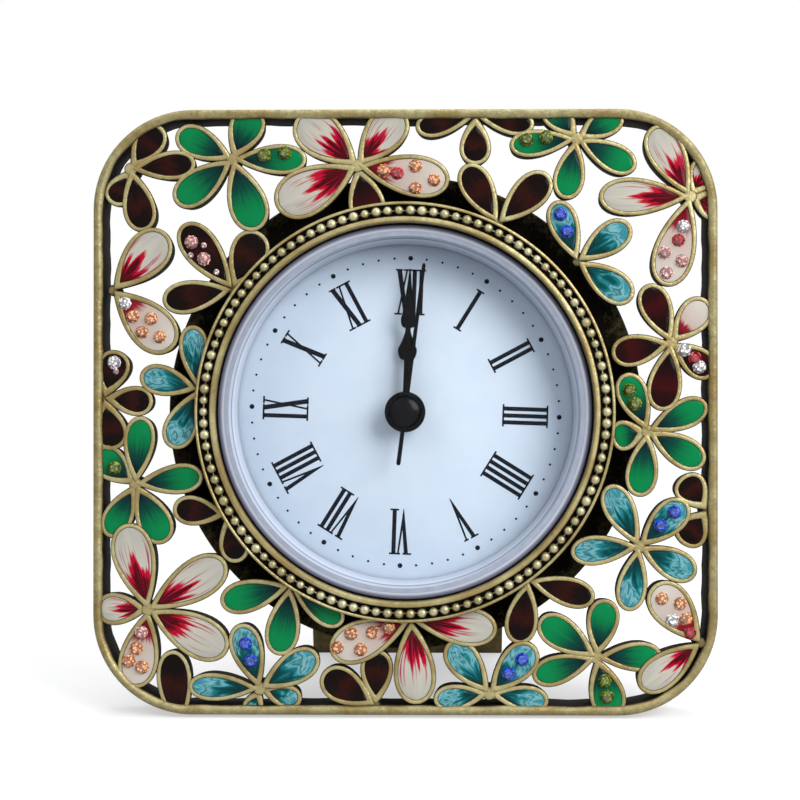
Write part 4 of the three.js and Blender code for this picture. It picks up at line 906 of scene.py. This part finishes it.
def stroke(foot, head, width):
    half = width / 2
    return [(foot - half, 0), (foot + half, 0),
            (head + half, NUMERAL_HEIGHT), (head - half, NUMERAL_HEIGHT)]


def serif(middle, reach, top):
    low = NUMERAL_HEIGHT - SERIF if top else 0
    return [(middle - reach, low), (middle + reach, low),
            (middle + reach, low + SERIF), (middle - reach, low + SERIF)]


def letter(kind, middle):
    if kind == "I":
        return [stroke(middle, middle, STEM), serif(middle, I_REACH, True),
                serif(middle, I_REACH, False)]
    if kind == "V":
        apex = middle + V_SHIFT
        wedge = [(apex + x, up * NUMERAL_HEIGHT) for x, up in V_OUTLINE]
        return [wedge, *(serif(apex + x, reach, True) for x, reach in V_SERIFS)]
    left, right = middle - X_SPREAD, middle + X_SPREAD
    ends = [serif(end, X_REACH, top) for end in (left, right) for top in (True, False)]
    return [stroke(right, left, THICK), stroke(left, right, THIN), *ends]


def printed(outline, turn, depth):
    raised = [(x, NUMERAL_FOOT + up) for x, up in outline]
    return plate([turned_by(turn, raised)], depth, PRINT_BACK)


prints = []
for hour, numeral in enumerate(NUMERALS):
    pen = -sum(PEN[kind] for kind in numeral) / 2
    for kind in numeral:
        for outline in letter(kind, pen + PEN[kind] / 2):
            depth = PRINT_FRONT - PRINT_STEP * (len(prints) % PRINT_LAYERS)
            prints.append(printed(outline, DIAL_TURN - hour * math.pi / 6, depth))
        pen += PEN[kind]
piece("printed_numerals", joined(*prints), [dial_ink], flat=True)
piece("dial_disc", turned(DIAL_SECTION, 160), [dial_white], nodes=["dial"])
print("numeral strokes", len(prints))

# %% [markdown]
# Sixty minute dots ring the numerals, and every fifth is larger. A node tree lays a small
# printed spot on each point of a circle.

# %% Minute dots
MINUTES = 60
DOT_LEVEL = -7.99
dot_tree, given = new_tree("minute dots", Ring="Float", Dot="Float", HourDot="Float",
                           Material="Material")
places = geo(dot_tree, "MeshCircle", {"Vertices": MINUTES, "Radius": given["Ring"]})
spot = geo(dot_tree, "MeshCylinder", {"Vertices": 20, "Radius": 1.0, "Depth": 0.04})
fifth = maths(dot_tree, "MODULO", geo(dot_tree, "InputIndex"), 5.0)
is_hour = maths(dot_tree, "LESS_THAN", fifth, 0.5)
girth = out(dot_tree, "ShaderNodeMix", {
    "Factor": is_hour, "A": given["Dot"], "B": given["HourDot"]})
broad = out(dot_tree, "ShaderNodeCombineXYZ", {"X": girth, "Y": girth, "Z": 1.0})
laid = geo(dot_tree, "InstanceOnPoints", {"Points": places, "Instance": spot, "Scale": broad})
set_down = geo(dot_tree, "Transform", {
    "Geometry": laid, "Translation": (0, 0, DOT_LEVEL), "Rotation": (0, 0, DIAL_TURN)})
end_tree(dot_tree, set_down, given["Material"])
grown("minute_dots", dot_tree, {
    "Ring": 25.2, "Dot": 0.19, "HourDot": 0.4, "Material": dial_ink})
print("dots", MINUTES)

# %% [markdown]
# Hands are stamped from thin sheet and lacquered black: spades for the hour and the minute, a
# straight needle with a tail for the second, under a round glossy cap.

# %% Hands
BLADE_STEPS, TIP_STEPS, HUB_STEPS = 8, 10, 40
TIP_HALF = 0.1


def curve(start, pull, end, s):
    return start * (1 - s) ** 2 + 2 * s * (1 - s) * pull + s * s * end


def spade(length, bulge_at, bulge, stem, hub, bore):
    foot, neck = hub * 0.8, bulge_at - bulge * 0.6
    side = [(stem / 2, foot), (stem / 2, neck)]
    for k in range(1, BLADE_STEPS + 1):
        s = k / BLADE_STEPS
        side.append((curve(stem / 2, bulge / 2, bulge / 2, s), curve(neck, neck, bulge_at, s)))
    shoulder = bulge_at + (length - bulge_at) * 0.3
    for k in range(1, TIP_STEPS + 1):
        s = k / TIP_STEPS
        side.append((curve(bulge / 2, bulge / 4, TIP_HALF, s),
                     curve(bulge_at, shoulder, length, s)))
    open_from = math.atan2(stem / 2, foot)
    ring = [open_from + (2 * math.pi - 2 * open_from) * k / HUB_STEPS
            for k in range(HUB_STEPS + 1)]
    round_hub = [(-hub * math.sin(k), hub * math.cos(k)) for k in ring]
    outline = side + [(-x, v) for x, v in reversed(side)] + round_hub[1:-1]
    return [turned_by(DIAL_TURN, loop) for loop in (outline, circle(bore, 32))]


# Length, place and width of the bulge, width of the stem, radius of the hub and of the bore.
HOUR_BLADE = (14.5, 10.3, 3.1, 1.0, 3.0, 2.15)
MINUTE_BLADE = (23.3, 15.1, 2.45, 0.9, 2.9, 1.45)
HOUR_LEVEL, MINUTE_LEVEL, SECOND_LEVEL = 6.4, 5.1, 3.8
SHEET = 0.3
SECOND_TURN = math.radians(-7.3)
NEEDLE = [
    (-0.2, -8.7), (0.2, -8.7), (0.35, -8.4), (0.34, 0), (0.3, 23.9), (0.16, 24.25), (-0.16, 24.25),
    (-0.3, 23.9), (-0.34, 0), (-0.35, -8.4)]
CAP_SECTION = [
    (0.01, 2.6), (0.8, 2.65), (1.5, 2.78), (2.1, 3.0), (2.5, 3.27), (2.68, 3.5), (2.74, 3.66),
    (3.2, 3.7), (3.3, 3.8), (3.3, 4.1), (0.01, 4.1)]
for name, sizes, level in [("hour", HOUR_BLADE, HOUR_LEVEL), ("minute", MINUTE_BLADE, MINUTE_LEVEL)]:
    piece(f"{name}_spade", plate(spade(*sizes), level, level + SHEET), [black_gloss], name,
          [f"{name}_hand"])
blade = plate([turned_by(SECOND_TURN, NEEDLE)], SECOND_LEVEL, SECOND_LEVEL + SHEET)
cap = turned(CAP_SECTION, 72)
piece("second_needle", joined(blade, cap), [black_gloss], "second", ["second_hand"])
print("hands ready")

# %% [markdown]
# The movement case, back cover and hatch are moulded black plastic. The case is turned; the
# cover is a plate with a hole for the setting knob and an opening for the hatch.

# %% Case, cover and hatch
CASE_SECTION = [
    (32.1, 3.3), (32.1, 7.8), (35.8, 7.8), (36, 8.0), (36, 8.8), (35.8, 9.0), (32.1, 9.0),
    (32.1, 18.9), (31.9, 19.1), (30.3, 19.1), (30.3, 11.6), (29.2, 11.6), (29.2, 8.9), (30.3, 8.9),
    (30.3, 3.3)]
LIP_SECTION = [(29.0, 19.5), (29.0, 17.9), (30.0, 17.9), (30.0, 19.5)]
CASE_STEPS, HATCH_STEPS = 120, 60
COVER_FRONT, COVER_STEP, COVER_BACK = 19.4, 20.4, 21.0
COVER_RADIUS, COVER_BACK_RADIUS, COVER_OVERLAP = 32.1, 31.5, 0.05
KNOB = (10.819, 10.819)
KNOB_HOLE, HATCH_HOLE = 1.15, 7.5
HATCH_RADIUS, BEVEL = 7.2, 0.2
SLOT_FLOOR = 20.2
SLOT_HALF = (5, 0.7)
piece("case_tube", turned(CASE_SECTION, CASE_STEPS), [black_plastic], nodes=["movement_case"])
low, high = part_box("battery_hatch")
middle = CLOCK.inverted() @ ((low + high) / 2)
HATCH = (middle.x, middle.z)
holes = [circle(KNOB_HOLE, 24, KNOB), circle(HATCH_HOLE, HATCH_STEPS, HATCH)]
broad, narrow = circle(COVER_RADIUS, CASE_STEPS), circle(COVER_BACK_RADIUS, CASE_STEPS)
cover = joined(plate([broad, *holes], COVER_FRONT, COVER_STEP),
               plate([narrow, *holes], COVER_STEP - COVER_OVERLAP, COVER_BACK),
               turned(LIP_SECTION, CASE_STEPS))
piece("cover_plate", cover, [black_plastic], nodes=["back_cover"])
coin_slot = [(HATCH[0] + sx * SLOT_HALF[0], HATCH[1] + sv * SLOT_HALF[1])
             for sx, sv in [(-1, -1), (1, -1), (1, 1), (-1, 1)]]
disc = circle(HATCH_RADIUS, HATCH_STEPS, HATCH)
bevelled = circle(HATCH_RADIUS - BEVEL, HATCH_STEPS, HATCH)
hatch = joined(plate([disc], COVER_FRONT, SLOT_FLOOR),
               plate([disc, coin_slot], SLOT_FLOOR, COVER_BACK - BEVEL),
               plate([bevelled, coin_slot], COVER_BACK - BEVEL, COVER_BACK))
piece("hatch_disc", hatch, [black_plastic], "hatch", ["battery_hatch"])
print("hatch at", [round(value, 2) for value in HATCH])

# %% [markdown]
# The setting knob has rounded flutes for the fingertips. Its loops swell and draw in from the
# shaft to the dished top. A small pinion on the shaft reaches the wheels inside.

# %% Setting knob
FLUTES, KNOB_STEPS = 14, 168
# Radius, depth, depth of the flutes.
KNOB_SECTION = [
    (0.9, 10.8, 0), (0.9, 21.3, 0), (4.2, 21.3, 0.4), (4.5, 21.7, 0.5), (4.5, 23.8, 0.5),
    (4.2, 24.2, 0.3), (3.6, 24.3, 0), (3.2, 24.0, 0), (0.3, 23.9, 0)]
TEETH = 12
TOOTH_TOP, TOOTH_ROOT = 2.9, 2.35
PINION_FRONT, PINION_BACK = 10.5, 11.1


def fluted(radius, depth, flute):
    outline = [polar(radius - flute * (0.5 - 0.5 * math.cos(FLUTES * turn)), turn, KNOB)
               for turn in angles(KNOB_STEPS)]
    return at_depth(outline, depth)


knob = skin([fluted(*row) for row in KNOB_SECTION])
knob_low, knob_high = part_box("setting_knob")
pinion = [polar(TOOTH_TOP if k % 4 in (1, 2) else TOOTH_ROOT, turn, KNOB)
          for k, turn in enumerate(angles(4 * TEETH))]
piece("fluted_knob", joined(knob, plate([pinion], PINION_FRONT, PINION_BACK)), [black_plastic],
      "knob", ["setting_knob"])
print("knob height", round(knob_high.z - knob_low.z, 4))

# %% [markdown]
# The strut and its bracket keep the shape of the working model, with the edges of the sheet
# softened as tumbling would. Both are darkened brass.

# %% Strut and bracket
BEND = math.radians(50)


def softened(name, source, body, width):
    mesh = frame["nodes"][source].data.copy()
    mesh.materials.clear()
    mesh.materials.append(dark_brass)
    shaped = bmesh.new()
    shaped.from_mesh(mesh)
    bmesh.ops.remove_doubles(shaped, verts=shaped.verts, dist=THINNEST)
    bmesh.ops.dissolve_limit(shaped, angle_limit=0.02, verts=shaped.verts, edges=shaped.edges)
    sharp = [edge for edge in shaped.edges if edge.is_manifold and edge.calc_face_angle() > BEND]
    bmesh.ops.bevel(shaped, geom=sharp, offset=width, segments=2, profile=0.5, affect="EDGES",
                    clamp_overlap=True)
    bmesh.ops.triangulate(shaped, faces=shaped.faces)
    shaped.to_mesh(mesh)
    shaped.free()
    settle(name, mesh, body, [source])


softened("easel_strut", "strut", "strut", 0.00025)
softened("strut_bracket", "hinge_bracket", "frame", 0.00015)
print("strut and bracket softened")

# %% [markdown]
# The works inside keep their shape from the working model: brass wheels and plates, steel
# pivots and screws, the copper coil, the green board and the button cell.

# %% Works inside
WORKS = {
    turned_brass: ["main_plate", "train_bridge", "fifth_wheel", "second_wheel", "third_wheel",
                   "centre_wheel", "cannon_pinion", "hour_wheel", "motion_wheel",
                   "contact_negative", "contact_positive"],
    steel: ["rotor", "stator", "button_cell", "hinge_pin", "case_screw_1", "case_screw_2",
            "case_screw_3"],
    copper: ["coil"],
    board_green: ["circuit_board"],
}
for material, names in WORKS.items():
    for name in names:
        slots = frame["nodes"][name].data.materials
        slots.clear()
        slots.append(material)
print("works", sum(len(names) for names in WORKS.values()))

# %% [markdown]
# The clock stands on a plain white sweep. Only what the camera sees, or sees mirrored, is pure
# white; a dimmer room lights the clock, and near the clock the floor keeps its shadow.

# %% Stage
def backdrop_share(tree):
    path = node(tree, "ShaderNodeLightPath").outputs
    mirrored = maths(tree, "MAXIMUM", path["Is Glossy Ray"], path["Is Transmission Ray"])
    return maths(tree, "MAXIMUM", path["Is Camera Ray"], mirrored)


plain_floor, tree = blank_material("plain_floor")
speck = ramp(tree, grain(tree, 40), (0.4, (0.8, 0.8, 0.8)), (0.6, (0.82, 0.82, 0.82)))
paper = out(tree, "ShaderNodeBsdfDiffuse", {"Color": speck})
glow = out(tree, "ShaderNodeEmission", {"Color": (1, 1, 1, 1), "Strength": backdrop_share(tree)})
away = node(tree, "ShaderNodeVectorMath", {0: object_place(tree)}, operation="LENGTH")
fade = ranged(tree, away.outputs["Value"], 0.5, 1.0, 0.06, 0.25)
show(tree, out(tree, "ShaderNodeMixShader", {0: fade, 1: paper, 2: glow}))
floor_mesh = bpy.data.meshes.new("floor")
floor_mesh.from_pydata([(-3, -3, 0), (3, -3, 0), (3, 3, 0), (-3, 3, 0)], [], [(0, 1, 2, 3)])
floor_mesh.materials.append(plain_floor)
floor = new_object("floor", floor_mesh)

world = bpy.data.worlds.new("studio")
bpy.context.scene.world = world
world.use_nodes = True
tree = world.node_tree
tree.nodes.clear()
white = out(tree, "ShaderNodeBackground", {"Color": (1, 1, 1, 1)})
room = out(tree, "ShaderNodeBackground", {"Color": (0.62, 0.63, 0.66, 1)})
sky = out(tree, "ShaderNodeMixShader", {0: backdrop_share(tree), 1: room, 2: white})
node(tree, "ShaderNodeOutputWorld", {"Surface": sky})
print("stage ready")

# %% [markdown]
# The key light is a large panel at the right, so the hands throw soft shadows to the left. The
# camera stands a long way back for its lens and looks square at the leaning face.

# %% Light and camera
def panel(name, spot, size, power):
    light = bpy.data.lights.new(name, "AREA")
    light.size = size
    light.energy = power
    lamp = new_object(name, light)
    lamp.location = CLOCK @ Vector(spot)
    lamp.rotation_euler = (face - lamp.location).to_track_quat("-Z", "Y").to_euler()


panel("panel_left", (-320, -260, 330), 0.3, 0.5)
panel("panel_right", (300, -300, 220), 0.35, 2.85)
panel("panel_top", (40, 60, 480), 0.4, 2.0)

VIEWPOINT, LOOK_AT = (4, -300, 0), (-0.75, 0, 1.9)
optics = bpy.data.cameras.new("camera")
optics.lens = 84.55
optics.sensor_width = 36
optics.clip_start = 0.01
camera = new_object("camera", optics)
stand = CLOCK @ Vector(VIEWPOINT)
aim = (CLOCK @ Vector(LOOK_AT) - stand).normalized()
side = aim.cross(UP).normalized()
turned_to = Matrix((side, side.cross(aim), -aim)).transposed().to_4x4()
camera.matrix_world = Matrix.Translation(stand) @ turned_to
bpy.context.scene.camera = camera
bpy.context.scene.view_settings.view_transform = "Standard"
print("camera at", [round(value, 3) for value in stand])
